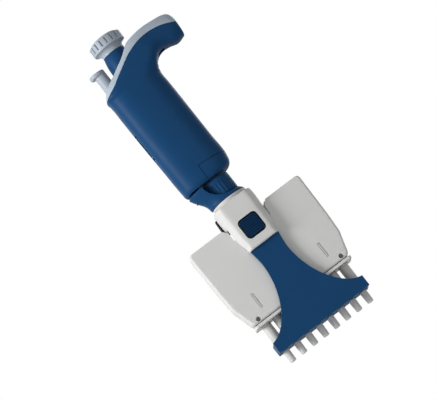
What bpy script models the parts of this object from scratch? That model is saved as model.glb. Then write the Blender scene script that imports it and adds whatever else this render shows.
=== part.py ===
"""Eight-channel hand pipette with a swivelling head, modelled in metres, +Z up.

The origin lies on the pipette's axis at the level of the nozzle tips. The row of
nozzles runs along X, the finger hook points to +X, and the ejector plate is at -Y.
"""

import math

import bmesh
import bpy
from mathutils import Matrix, Vector

# Clearances
CLEARANCE = 0.0003
RUNNING_CLEARANCE = 0.0004

# Row of channels
CHANNEL_PITCH = 0.009
CHANNEL_COUNT = 8

# Nozzle, measured from its tip upwards
TIP_RADIUS = 0.00227
TIP_BASE_RADIUS = 0.00265
TIP_LENGTH = 0.012
TUBE_RADIUS = 0.0035
TUBE_SHOULDER = 0.0006
NOZZLE_FLANGE_RADIUS = 0.00425
NOZZLE_FLANGE_HEIGHT = 0.0016
BORE_RADIUS = 0.00085
PISTON_RADIUS = 0.0023

# Head housing
NOZZLE_EXPOSED = 0.0321
PLATE_THICKNESS = 0.0023
PLATE_HALF_WIDTH = 0.0388
PLATE_HALF_DEPTH = 0.0093
HOUSING_HEIGHT = 0.062
HOUSING_END_MARGIN = 0.0132
HOUSING_FOOT_MARGIN = 0.0071
HOUSING_HALF_DEPTH = 0.0085
HOUSING_WALL = 0.0018
HOUSING_TAPER_HEIGHT = 0.0146
NOTCH_HALF_WIDTH = 0.0162
NOTCH_TOP_HALF_WIDTH = 0.0184
NOTCH_DEPTH = 0.0099
NOTCH_FLOOR = 0.002
MARK_SLOT_WIDTH = 0.002
MARK_SLOT_HEIGHT = 0.0109
MARK_SLOT_DEPTH = 0.0007

# Neck
STEM_RADIUS = 0.005
STEM_BORE_RADIUS = 0.0029
STEM_FOOT_RADIUS = 0.0063
STEM_FOOT_THICKNESS = 0.0016
STEM_HEAD_RADIUS = 0.0079
STEM_HEAD_THICKNESS = 0.002
WASHER_THICKNESS = 0.0008
NUT_RADIUS = 0.0101
NUT_BORE_RADIUS = 0.0085
NUT_HEIGHT = 0.0135
NUT_LIP_THICKNESS = 0.0016
NUT_RIBS = 24
NUT_RIB_DEPTH = 0.0004

# Lower ejector
COLLAR_HALF_WIDTH = 0.0147
COLLAR_FOOT_HALF_WIDTH = 0.0122
COLLAR_FRONT = 0.0143
COLLAR_BORE_RADIUS = 0.0072
COLLAR_RIM_RADIUS = 0.0124
COLLAR_REAR_GAP_Y = 0.004
COLLAR_SHOULDER_HEIGHT = 0.0053
COLLAR_BODY_HEIGHT = 0.012
COLLAR_APRON_HEIGHT = 0.02
BUTTON_HALF_WIDTH = 0.0065
BUTTON_HEIGHT = 0.0128
BUTTON_TRAVEL = 0.0015
BUTTON_RIBS = 10
POCKET_MARGIN = 0.0009
FAN_THICKNESS = 0.002
FAN_WAIST_HALF_WIDTH = 0.01
FAN_NECK_HALF_WIDTH = 0.0113
BAR_END_MARGIN = 0.0048
BAR_BOTTOM = 0.0085
BAR_HEIGHT = 0.0077
BAR_REAR = 0.0075
BAR_WALL = 0.001
BAR_FLOOR = 0.002
BAR_HOLE_RADIUS = 0.00305

# Piston carriage
PLUNGER_STROKE = 0.0145
CROSSBAR_HEIGHT = 0.006
CROSSBAR_HALF_DEPTH = 0.0048
CROSSBAR_END_MARGIN = 0.0042
PISTON_HEAD_RADIUS = 0.0033
PISTON_HEAD_HEIGHT = 0.0018
PUSH_ROD_RADIUS = 0.0025
EJECTOR_STROKE = 0.007

# Ejector arm
RING_THICKNESS = 0.0024
ARM_POST_X = 0.0158
ARM_POST_HALF = 0.0026

# Handle
GRIP_LEFT = 0.0236
GRIP_RIGHT = 0.0171
GRIP_HALF_DEPTH = 0.0145
GRIP_HEIGHT = 0.077
HANDLE_WALL = 0.0022
HANDLE_FLOOR = 0.0021
HOOK_REACH = 0.0447
HANGER_SLOT_DEPTH = 0.0018
CALIBRATION_COVER_LEFT = 0.0037
CALIBRATION_COVER_HEIGHT = 0.0114
WINDOW_HALF_WIDTH = 0.0045

# Plunger and knob
SLEEVE_RADIUS = 0.0096
SLEEVE_BORE_RADIUS = 0.0065
ROD_RADIUS = 0.0025
KNOB_RADIUS = 0.0119
KNOB_RIM_HEIGHT = 0.006
KNOB_RISE = 0.0299
KNOB_RIBS = 18

# Ejector button
EJECTOR_X = 0.0164
EJECTOR_STEM_RADIUS = 0.0042
EJECTOR_CAP_RADIUS = 0.00565
EJECTOR_CAP_HEIGHT = 0.004
EJECTOR_CAP_RISE = 0.0227

# Inner frame, neck tube and counter
NECK_RADIUS = 0.0082
FRAME_PLATE = 0.002
COLUMN_THICKNESS = 0.002
COUNTER_X = 0.01425
AXLE_RADIUS = 0.0012
DRUM_RADIUS = 0.0062
GEAR_TEETH = 28
PINION_TEETH = 14
GEAR_BOSS_RADIUS = 0.0039
VOLUME_NUT_RADIUS = 0.0065

# Levels that follow from the lengths above
ROW_HALF = CHANNEL_PITCH * (CHANNEL_COUNT - 1) / 2
HOUSING_Z = NOZZLE_EXPOSED + CLEARANCE
SHOULDER_Z = HOUSING_Z + HOUSING_HEIGHT
NOTCH_Z = SHOULDER_Z - NOTCH_DEPTH
COLLAR_Z = NOTCH_Z + EJECTOR_STROKE + RUNNING_CLEARANCE + 0.0001
COLLAR_TOP = COLLAR_Z + COLLAR_BODY_HEIGHT + COLLAR_SHOULDER_HEIGHT
APRON_Z = COLLAR_Z - COLLAR_APRON_HEIGHT
RING_Z = COLLAR_TOP + CLEARANCE
HOUSING_HALF_WIDTH = ROW_HALF + HOUSING_END_MARGIN
BAR_HALF_WIDTH = ROW_HALF + BAR_END_MARGIN
APRON_REAR = HOUSING_HALF_DEPTH + CLEARANCE
NUT_Z = RING_Z + RING_THICKNESS + CLEARANCE
HANDLE_Z = NUT_Z + NUT_HEIGHT + CLEARANCE
GRIP_TOP = HANDLE_Z + GRIP_HEIGHT
DECK_Z = GRIP_TOP + 0.0030
SLEEVE_LOW = GRIP_TOP - 0.0001
KNOB_Z = GRIP_TOP + KNOB_RISE
EJECTOR_CAP_Z = GRIP_TOP + EJECTOR_CAP_RISE
EJECTOR_CAP_X = KNOB_RADIUS + CLEARANCE + EJECTOR_CAP_RADIUS
GEAR_MODULE = 2 * COUNTER_X / (GEAR_TEETH + PINION_TEETH)

PARTS = "Multichannel pipette"
CUTTERS = "Multichannel pipette cutters"


def clear_scene():
    """Remove what a new file holds and make the two collections."""
    for obj in list(bpy.data.objects):
        bpy.data.objects.remove(obj, do_unlink=True)
    for name in (PARTS, CUTTERS):
        old = bpy.data.collections.get(name)
        if old is not None:
            bpy.data.collections.remove(old)
        bpy.context.scene.collection.children.link(bpy.data.collections.new(name))


def paint(name, colour, roughness, metallic=0.0):
    """Make a Principled material with one colour."""
    material = bpy.data.materials.new(name)
    material.use_nodes = True
    shader = material.node_tree.nodes["Principled BSDF"]
    shader.inputs["Base Color"].default_value = (*colour, 1.0)
    shader.inputs["Roughness"].default_value = roughness
    shader.inputs["Metallic"].default_value = metallic
    material.diffuse_color = (*colour, 1.0)
    return material


def add(name, bm, material=None, smooth=None):
    """Turn a bmesh into an object; with no material it becomes a cutter."""
    bmesh.ops.recalc_face_normals(bm, faces=bm.faces)
    mesh = bpy.data.meshes.new(name)
    bm.to_mesh(mesh)
    bm.free()
    obj = bpy.data.objects.new(name, mesh)
    if material is None:
        bpy.data.collections[CUTTERS].objects.link(obj)
        obj.hide_render = True
        obj.display_type = "WIRE"
        return obj
    bpy.data.collections[PARTS].objects.link(obj)
    mesh.materials.append(material)
    if smooth is not None:
        mesh.shade_smooth()
        mesh.set_sharp_from_angle(angle=math.radians(smooth))
    return obj


def box(name, low, high, material=None):
    """Make a box between two corners."""
    bm = bmesh.new()
    size = [b - a for a, b in zip(low, high)]
    middle = [(a + b) / 2 for a, b in zip(low, high)]
    turn = Matrix.Translation(middle) @ Matrix.Diagonal((*size, 1.0))
    bmesh.ops.create_cube(bm, size=1.0, matrix=turn)
    return add(name, bm, material)


def cylinder(name, radius, low, high, material=None, sides=32, axis="Z", centre=(0.0, 0.0)):
    """Make a cylinder along Z or Y, its centre given in the other two directions."""
    bm = bmesh.new()
    lift = Matrix.Translation((0.0, 0.0, (low + high) / 2))
    if axis == "Z":
        place = Matrix.Translation((centre[0], centre[1], 0.0)) @ lift
    else:
        place = Matrix.Translation((centre[0], 0.0, centre[1])) @ Matrix.Rotation(-math.pi / 2, 4, "X") @ lift
    bmesh.ops.create_cone(
        bm, cap_ends=True, segments=sides, radius1=radius, radius2=radius, depth=high - low, matrix=place
    )
    return add(name, bm, material, 40)


def turned(name, profile, steps, material=None, place=(0.0, 0.0, 0.0), closed=True):
    """Turn a profile of (radius, height) points about Z with a Screw modifier.

    A closed profile makes a ring; an open one starts and ends on the axis.
    """
    bm = bmesh.new()
    points = [bm.verts.new((radius, 0.0, height)) for radius, height in profile]
    ends = points[1:] + points[:1] if closed else points[1:]
    for first, second in zip(points, ends):
        bm.edges.new((first, second))
    mesh = bpy.data.meshes.new(name)
    bm.to_mesh(mesh)
    bm.free()
    obj = bpy.data.objects.new(name, mesh)
    obj.location = place
    screw = obj.modifiers.new("Turn", "SCREW")
    screw.steps = steps
    screw.render_steps = steps
    screw.use_merge_vertices = True
    screw.merge_threshold = 0.00001
    screw.use_normal_calculate = True
    if material is None:
        bpy.data.collections[CUTTERS].objects.link(obj)
        obj.hide_render = True
        obj.display_type = "WIRE"
    else:
        bpy.data.collections[PARTS].objects.link(obj)
        mesh.materials.append(material)
    return obj


def prism(name, outline, low, high, axis="Y", material=None):
    """Extrude a flat outline: (x, z) points along Y, (x, y) along Z or (y, z) along X."""
    bm = bmesh.new()
    spots = {
        "Y": lambda a, b: (a, low, b),
        "Z": lambda a, b: (a, b, low),
        "X": lambda a, b: (low, a, b),
    }[axis]
    step = {"Y": (0.0, high - low, 0.0), "Z": (0.0, 0.0, high - low), "X": (high - low, 0.0, 0.0)}[axis]
    face = bm.faces.new([bm.verts.new(spots(a, b)) for a, b in outline])
    moved = bmesh.ops.extrude_face_region(bm, geom=[face])
    corners = [item for item in moved["geom"] if isinstance(item, bmesh.types.BMVert)]
    bmesh.ops.translate(bm, verts=corners, vec=step)
    return add(name, bm, material)


def cut(obj, tool, operation="DIFFERENCE"):
    """Add an exact Boolean with a cutter and put the cutter in its collection."""
    change = obj.modifiers.new("Cut", "BOOLEAN")
    change.operation = operation
    change.solver = "EXACT"
    change.object = tool
    return obj


def bake(obj, smooth=30):
    """Apply an object's modifiers, so that later steps work on the plain mesh."""
    graph = bpy.context.evaluated_depsgraph_get()
    graph.update()
    mesh = bpy.data.meshes.new_from_object(obj.evaluated_get(graph))
    bm = bmesh.new()
    bm.from_mesh(mesh)
    bmesh.ops.remove_doubles(bm, verts=bm.verts, dist=0.000002)
    bmesh.ops.dissolve_degenerate(bm, edges=bm.edges, dist=0.000002)
    bmesh.ops.recalc_face_normals(bm, faces=bm.faces)
    bm.to_mesh(mesh)
    bm.free()
    materials = [slot.material for slot in obj.material_slots]
    obj.modifiers.clear()
    old = obj.data
    obj.data = mesh
    mesh.name = obj.name
    bpy.data.meshes.remove(old)
    mesh.materials.clear()
    for material in materials:
        mesh.materials.append(material)
    mesh.shade_smooth()
    mesh.set_sharp_from_angle(angle=math.radians(smooth))
    return obj


def round_edges(obj, width, segments=2, angle=35):
    """Round the sharp edges of an object."""
    bevel = obj.modifiers.new("Edges", "BEVEL")
    bevel.width = width
    bevel.segments = segments
    bevel.limit_method = "ANGLE"
    bevel.angle_limit = math.radians(angle)
    bevel.use_clamp_overlap = True
    return obj


def arc(centre, radius, start, end, steps):
    """Points on an arc, in degrees, ends included."""
    points = []
    for index in range(steps + 1):
        angle = math.radians(start + (end - start) * index / steps)
        points.append((centre[0] + radius * math.cos(angle), centre[1] + radius * math.sin(angle)))
    return points


def channel_positions():
    """The X of each nozzle, left to right."""
    return [CHANNEL_PITCH * index - ROW_HALF for index in range(CHANNEL_COUNT)]


def fluted_outline(radius, depth, ribs):
    """A round outline with raised ribs, three points a rib."""
    points = []
    for index in range(ribs):
        for share, shift in ((0.0, depth), (0.3, 0.0), (0.7, 0.0)):
            angle = 2 * math.pi * (index + share) / ribs
            size = radius - shift
            points.append((size * math.cos(angle), size * math.sin(angle)))
    return points


def housing_outline(inset, floor_drop, foot):
    """The head's front outline, moved inwards by inset, with the notch floor lowered."""
    foot_x = ROW_HALF + HOUSING_FOOT_MARGIN - inset
    waist_x = HOUSING_HALF_WIDTH - 0.0014 - inset
    side_x = HOUSING_HALF_WIDTH - inset
    top = SHOULDER_Z - inset
    corner = 0.0024
    right = [
        (foot_x, foot),
        (foot_x, HOUSING_Z),
        (waist_x - 0.0008, HOUSING_Z + HOUSING_TAPER_HEIGHT - 0.002),
        (waist_x, HOUSING_Z + HOUSING_TAPER_HEIGHT),
        (waist_x + 0.0005, HOUSING_Z + HOUSING_TAPER_HEIGHT + 0.003),
        (side_x, top - corner),
    ]
    right += arc((side_x - corner, top - corner), corner, 15, 90, 4)
    right += [
        (NOTCH_TOP_HALF_WIDTH + inset * 0.6, top),
        (NOTCH_HALF_WIDTH + inset, top - (NOTCH_TOP_HALF_WIDTH - NOTCH_HALF_WIDTH)),
        (NOTCH_HALF_WIDTH + inset, NOTCH_Z - floor_drop),
    ]
    if foot == HOUSING_Z:
        right = right[1:]
    left = [(-x, z) for x, z in reversed(right)]
    return right + left


def make_head(paints):
    """Build the swivelling head: two shells, the nozzle plate, its screws and the nozzles."""
    hollow = prism(
        "head hollow",
        housing_outline(HOUSING_WALL, NOTCH_FLOOR, HOUSING_Z - 0.002),
        HOUSING_WALL - HOUSING_HALF_DEPTH,
        HOUSING_HALF_DEPTH - HOUSING_WALL,
    )
    stem_hole = cylinder("stem hole", STEM_RADIUS + CLEARANCE, NOTCH_Z - 0.01, NOTCH_Z + 0.01)
    reach = HOUSING_HALF_WIDTH + 0.01
    screw_x = ROW_HALF + 0.0022
    screw_z = HOUSING_Z + 0.0024
    for name, side in (("head_front_shell", -1.0), ("head_rear_shell", 1.0)):
        shell = prism(
            name, housing_outline(0.0, 0.0, HOUSING_Z), -HOUSING_HALF_DEPTH, HOUSING_HALF_DEPTH, "Y", paints["head"]
        )
        round_edges(shell, 0.0014, 1, 50)
        cut(shell, hollow)
        cut(shell, stem_hole)
        far = (-reach, -side * 0.02 if side > 0 else CLEARANCE / -2, HOUSING_Z - 0.01)
        near = (reach, CLEARANCE / 2 if side > 0 else 0.02, SHOULDER_Z + 0.01)
        cut(shell, box(name + " parting", far, near))
        if side < 0:
            for sign in (-1.0, 1.0):
                slot_x = sign * CHANNEL_PITCH * 3
                cut(
                    shell,
                    box(
                        f"mark slot {sign:+.0f}",
                        (slot_x - MARK_SLOT_WIDTH / 2, -HOUSING_HALF_DEPTH - 0.002, HOUSING_Z + 0.0072),
                        (
                            slot_x + MARK_SLOT_WIDTH / 2,
                            -HOUSING_HALF_DEPTH + MARK_SLOT_DEPTH,
                            HOUSING_Z + 0.0072 + MARK_SLOT_HEIGHT,
                        ),
                    ),
                )
                cut(
                    shell,
                    cylinder(
                        f"screw seat {sign:+.0f}",
                        0.0015,
                        -HOUSING_HALF_DEPTH - 0.002,
                        -HOUSING_HALF_DEPTH + 0.0009,
                        None,
                        10,
                        "Y",
                        (sign * screw_x, screw_z),
                    ),
                )
                cut(
                    shell,
                    cylinder(
                        f"screw way {sign:+.0f}",
                        0.001,
                        -HOUSING_HALF_DEPTH - 0.001,
                        -HOUSING_HALF_DEPTH + 0.004,
                        None,
                        8,
                        "Y",
                        (sign * screw_x, screw_z),
                    ),
                )
        bake(shell)

    plate_low = NOZZLE_EXPOSED - PLATE_THICKNESS
    plate = box(
        "nozzle_plate",
        (-PLATE_HALF_WIDTH, -PLATE_HALF_DEPTH, plate_low),
        (PLATE_HALF_WIDTH, PLATE_HALF_DEPTH, NOZZLE_EXPOSED),
        paints["lip"],
    )
    round_edges(plate, 0.0008, 1)
    lug_front = HOUSING_HALF_DEPTH - HOUSING_WALL - CLEARANCE
    for sign in (-1.0, 1.0):
        lug = box(
            f"screw lug {sign:+.0f}",
            (sign * screw_x - 0.0018, -lug_front, plate_low + 0.001),
            (sign * screw_x + 0.0018, -NOZZLE_FLANGE_RADIUS - 0.0005, screw_z + 0.0018),
        )
        cut(plate, lug, "UNION")
        cut(
            plate,
            cylinder(f"lug hole {sign:+.0f}", 0.001, -0.0085, -0.003, None, 8, "Y", (sign * screw_x, screw_z)),
        )
    cut(
        plate,
        cylinder("plate boss", 0.001, plate_low - 0.0015, plate_low + 0.0005, None, 10, "Z", (0.035, -0.006)),
        "UNION",
    )
    for index, x in enumerate(channel_positions()):
        hole = cylinder(f"plate hole {index}", TUBE_RADIUS + CLEARANCE, plate_low - 0.004, NOZZLE_EXPOSED + 0.001,
                        None, 12, "Z", (x, 0.0))
        cut(plate, hole)
    bake(plate)

    for sign, name in ((-1.0, "plate_screw_left"), (1.0, "plate_screw_right")):
        screw = turned(
            name,
            [(0.0, -0.0003), (0.0009, -0.0003), (0.0012, -0.0006), (0.0012, -0.0009 + CLEARANCE / 2),
             (0.0007, -0.0009 + CLEARANCE / 2), (0.0007, -0.0035), (0.0, -0.0035)],
            12,
            paints["steel"],
            (sign * screw_x, -HOUSING_HALF_DEPTH, screw_z),
            False,
        )
        screw.rotation_euler = (math.pi / 2, 0.0, 0.0)
        bake(screw)

    flange_low = NOZZLE_EXPOSED + CLEARANCE
    flange_top = flange_low + NOZZLE_FLANGE_HEIGHT
    step = TIP_LENGTH + TUBE_SHOULDER + 0.005
    piston_bore = PISTON_RADIUS + CLEARANCE
    for index, x in enumerate(channel_positions()):
        nozzle = turned(
            f"nozzle_{index + 1}",
            [
                (NOZZLE_FLANGE_RADIUS, flange_top),
                (NOZZLE_FLANGE_RADIUS, flange_low),
                (TUBE_RADIUS, flange_low),
                (TUBE_RADIUS, TIP_LENGTH + TUBE_SHOULDER),
                (TIP_BASE_RADIUS, TIP_LENGTH),
                (TIP_RADIUS, 0.0),
                (BORE_RADIUS, 0.0),
                (BORE_RADIUS, step),
                (piston_bore, step + 0.0008),
                (piston_bore, flange_top),
            ],
            12,
            paints["nozzle"],
            (x, 0.0, 0.0),
        )
        bake(nozzle)
    return step


def make_carriage(paints, step, rod_bottom):
    """Build the crossbar with its pistons and the rod that pushes it down."""
    foot_z = NOTCH_Z - NOTCH_FLOOR - CLEARANCE - STEM_FOOT_THICKNESS
    bar_top = foot_z - 0.0022
    bar_low = bar_top - CROSSBAR_HEIGHT
    half = ROW_HALF + CROSSBAR_END_MARGIN
    crossbar = box(
        "crossbar",
        (-half, -CROSSBAR_HALF_DEPTH, bar_low),
        (half, CROSSBAR_HALF_DEPTH, bar_top),
        paints["chassis"],
    )
    round_edges(crossbar, 0.001, 1)
    spigot = PISTON_RADIUS - CLEARANCE
    for index, x in enumerate(channel_positions()):
        cut(crossbar, cylinder(f"piston seat {index}", PISTON_RADIUS, bar_low - 0.001, bar_low + 0.0035,
                               None, 10, "Z", (x, 0.0)))
    cut(crossbar, cylinder("push rod seat", PUSH_ROD_RADIUS + CLEARANCE, bar_top - 0.0018, bar_top + 0.001,
                           None, 16))
    bake(crossbar)

    piston_low = step + 0.001 + PLUNGER_STROKE
    head_top = bar_low - CLEARANCE
    for index, x in enumerate(channel_positions()):
        piston = turned(
            f"piston_{index + 1}",
            [
                (0.0, bar_low + 0.0032),
                (spigot, bar_low + 0.0032),
                (spigot, head_top),
                (PISTON_HEAD_RADIUS, head_top),
                (PISTON_HEAD_RADIUS, head_top - PISTON_HEAD_HEIGHT),
                (PISTON_RADIUS, head_top - PISTON_HEAD_HEIGHT),
                (PISTON_RADIUS, piston_low),
                (0.0, piston_low),
            ],
            10,
            paints["steel"],
            (x, 0.0, 0.0),
            False,
        )
        bake(piston)
    cylinder("push_rod", PUSH_ROD_RADIUS, bar_top - 0.0018 + CLEARANCE, rod_bottom - CLEARANCE, paints["steel"], 16)
    return foot_z


def make_neck(paints, foot_z, nut_z):
    """Build the swivel stem, its washer and the union nut that holds them."""
    head_low = nut_z + NUT_LIP_THICKNESS + CLEARANCE
    head_top = head_low + STEM_HEAD_THICKNESS
    foot_top = foot_z + STEM_FOOT_THICKNESS
    shoulder = NOTCH_Z + CLEARANCE
    bake(turned(
        "swivel_stem",
        [
            (STEM_HEAD_RADIUS, head_top),
            (STEM_HEAD_RADIUS, head_low),
            (STEM_RADIUS, head_low),
            (STEM_RADIUS, shoulder + 0.0012),
            (STEM_FOOT_RADIUS, shoulder + 0.0012),
            (STEM_FOOT_RADIUS, shoulder),
            (STEM_RADIUS, shoulder),
            (STEM_RADIUS, foot_top),
            (STEM_FOOT_RADIUS, foot_top),
            (STEM_FOOT_RADIUS, foot_z),
            (STEM_BORE_RADIUS, foot_z),
            (STEM_BORE_RADIUS, head_top),
        ],
        18,
        paints["steel"],
    ))
    washer_low = head_top + CLEARANCE
    washer_top = washer_low + WASHER_THICKNESS
    bake(turned(
        "swivel_washer",
        [(STEM_HEAD_RADIUS, washer_top), (STEM_HEAD_RADIUS, washer_low),
         (STEM_RADIUS, washer_low), (STEM_RADIUS, washer_top)],
        18,
        paints["dark"],
    ))
    nut = prism("union_nut", fluted_outline(NUT_RADIUS, NUT_RIB_DEPTH, NUT_RIBS), nut_z, nut_z + NUT_HEIGHT,
                "Z", paints["blue"])
    cut(nut, cylinder("nut bore", NUT_BORE_RADIUS, nut_z + NUT_LIP_THICKNESS, nut_z + NUT_HEIGHT + 0.001, None, 24))
    cut(nut, cylinder("nut mouth", STEM_RADIUS + CLEARANCE, nut_z - 0.001, nut_z + NUT_HEIGHT, None, 18))
    bake(nut)
    return washer_top


def collar_section(height, half_width, front, roundness, sides):
    """A chamfered plan section of the collar that turns into its round rim."""
    flat = half_width * 0.646
    side = front * 0.56
    slope = (front - side) / (half_width - flat)
    reach_y = front + flat * slope
    reach_x = half_width + side / slope
    points = []
    for index in range(sides):
        angle = 2 * math.pi * index / sides
        across = abs(math.cos(angle))
        along = abs(math.sin(angle))
        size = 1 / max(across / half_width, along / front, across / reach_x + along / reach_y)
        size = size * (1 - roundness) + COLLAR_RIM_RADIUS * roundness
        points.append((size * math.cos(angle), size * math.sin(angle), height))
    return points


def skin(name, rings, material=None, smooth=30):
    """Close a stack of rings with equal point counts into a solid."""
    bm = bmesh.new()
    loops = [[bm.verts.new(point) for point in ring] for ring in rings]
    count = len(loops[0])
    for lower, upper in zip(loops, loops[1:]):
        for index in range(count):
            after = (index + 1) % count
            bm.faces.new((lower[index], lower[after], upper[after], upper[index]))
    bm.faces.new(list(reversed(loops[0])))
    bm.faces.new(loops[-1])
    return add(name, bm, material, smooth)


def fan_half_width(z, waist_z, bar_top):
    """The ejector plate's half width, a waist that flares into the bar."""
    if z >= waist_z:
        share = (z - waist_z) / (APRON_Z - waist_z)
        return FAN_WAIST_HALF_WIDTH + (FAN_NECK_HALF_WIDTH - FAN_WAIST_HALF_WIDTH) * min(share, 1.0) ** 1.5
    share = (waist_z - z) / (waist_z - bar_top)
    flare = 1 - (1 - share ** 1.9) ** 0.6
    return FAN_WAIST_HALF_WIDTH + (BAR_HALF_WIDTH - FAN_WAIST_HALF_WIDTH) * flare


def make_lower_ejector(paints):
    """Build the collar, its dark rear piece, the release button and the ejector plate."""
    width = COLLAR_HALF_WIDTH
    foot = COLLAR_FOOT_HALF_WIDTH
    levels = [
        (APRON_Z, foot - 0.0008, COLLAR_FRONT - 0.0006, 0.0),
        (APRON_Z + 0.0036, foot, COLLAR_FRONT, 0.0),
        (APRON_Z + 0.0065, width - 0.0013, COLLAR_FRONT, 0.0),
        (COLLAR_Z, width - 0.0004, COLLAR_FRONT, 0.0),
        (COLLAR_Z + COLLAR_BODY_HEIGHT, width, COLLAR_FRONT, 0.0),
        (COLLAR_TOP - 0.0033, width - 0.001, COLLAR_FRONT - 0.0006, 0.25),
        (COLLAR_TOP - 0.0014, width - 0.0014, COLLAR_FRONT - 0.001, 0.7),
        (COLLAR_TOP, width, COLLAR_FRONT, 1.0),
    ]
    collar = skin(
        "ejector_collar",
        [collar_section(height, half, front, share, 32) for height, half, front, share in levels],
        paints["collar"],
    )
    reach = 0.03
    cut(collar, box("apron back", (-reach, -APRON_REAR, APRON_Z - 0.01), (reach, reach, COLLAR_Z)))
    cut(collar, box("collar back", (-reach, COLLAR_REAR_GAP_Y - CLEARANCE, APRON_Z),
                    (reach, reach, COLLAR_Z + COLLAR_BODY_HEIGHT + CLEARANCE)))
    cut(collar, cylinder("collar bore", COLLAR_BORE_RADIUS, APRON_Z, COLLAR_TOP + 0.001, None, 28))
    button_top = COLLAR_Z - 0.0005
    button_low = button_top - BUTTON_HEIGHT
    pocket_floor = COLLAR_FRONT - 0.0038
    pocket = box(
        "button pocket",
        (-BUTTON_HALF_WIDTH - POCKET_MARGIN, -COLLAR_FRONT - 0.01, button_low - POCKET_MARGIN),
        (BUTTON_HALF_WIDTH + POCKET_MARGIN, -pocket_floor, button_top + POCKET_MARGIN),
    )
    cut(collar, pocket)
    fan_front = PLATE_HALF_DEPTH + CLEARANCE + FAN_THICKNESS
    tongue_top = button_low - POCKET_MARGIN - 0.0015
    tongue = FAN_WAIST_HALF_WIDTH - 0.0004
    cut(collar, box("tongue slot", (-tongue - CLEARANCE, -fan_front - CLEARANCE, APRON_Z - 0.01),
                    (tongue + CLEARANCE, reach, tongue_top + CLEARANCE)))
    bake(collar)

    rear_top = COLLAR_Z + COLLAR_BODY_HEIGHT
    rear = prism(
        "collar_rear",
        [(COLLAR_REAR_GAP_Y, COLLAR_Z), (0.0118, COLLAR_Z), (0.0128, COLLAR_Z + 0.001), (0.0128, COLLAR_Z + 0.005),
         (0.0095, rear_top), (COLLAR_REAR_GAP_Y, rear_top)],
        -width - 0.001,
        width + 0.001,
        "X",
        paints["dark"],
    )
    round_edges(rear, 0.0012, 2, 50)
    cut(rear, cylinder("rear bore", COLLAR_BORE_RADIUS, COLLAR_Z - 0.001, rear_top + 0.001, None, 28))
    bake(rear)

    ribs = []
    pitch = (BUTTON_HEIGHT - 0.0012) / BUTTON_RIBS
    face = COLLAR_FRONT + 0.0002
    for index in range(BUTTON_RIBS):
        low = button_low + 0.0006 + pitch * index
        ribs += [(-face + 0.0004, low), (-face, low + pitch * 0.2), (-face, low + pitch * 0.6),
                 (-face + 0.0004, low + pitch * 0.8)]
    back = pocket_floor + BUTTON_TRAVEL + CLEARANCE
    button = prism(
        "release_button",
        [(-back, button_low), (-face + 0.001, button_low)] + ribs + [(-face + 0.001, button_top), (-back, button_top)],
        -BUTTON_HALF_WIDTH,
        BUTTON_HALF_WIDTH,
        "X",
        paints["navy"],
    )
    bake(button)

    bar_top = BAR_BOTTOM + BAR_HEIGHT
    waist_z = bar_top + (APRON_Z - bar_top) * 0.797
    right = [(tongue, tongue_top), (tongue, APRON_Z - CLEARANCE), (FAN_NECK_HALF_WIDTH, APRON_Z - CLEARANCE)]
    levels = [APRON_Z - CLEARANCE - 0.003, APRON_Z - CLEARANCE - 0.007, waist_z]
    levels += [waist_z - (waist_z - bar_top) * share for share in
               (0.15, 0.3, 0.44, 0.56, 0.67, 0.76, 0.84, 0.905, 0.95, 0.985)]
    right += [(fan_half_width(level, waist_z, bar_top), level) for level in levels]
    right += [(BAR_HALF_WIDTH, bar_top), (BAR_HALF_WIDTH, BAR_BOTTOM)]
    outline = right + [(-x, z) for x, z in reversed(right)]
    plate = prism("ejector_plate", outline, -fan_front, FAN_THICKNESS - fan_front, "Y", paints["blue"])
    tray = box(
        "ejector bar",
        (-BAR_HALF_WIDTH, -fan_front, BAR_BOTTOM),
        (BAR_HALF_WIDTH, BAR_REAR, bar_top),
    )
    round_edges(tray, 0.0008, 1)
    cut(plate, tray, "UNION")
    hollow = box(
        "ejector bar hollow",
        (BAR_WALL - BAR_HALF_WIDTH, FAN_THICKNESS - fan_front, BAR_BOTTOM + BAR_FLOOR),
        (BAR_HALF_WIDTH - BAR_WALL, BAR_REAR - BAR_WALL, bar_top + 0.002),
    )
    cut(plate, hollow)
    for index, x in enumerate(channel_positions()):
        cut(plate, cylinder(f"bar hole {index}", BAR_HOLE_RADIUS, BAR_BOTTOM - 0.001, BAR_BOTTOM + BAR_FLOOR + 0.001,
                            None, 12, "Z", (x, 0.0)))
    bake(plate)


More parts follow.
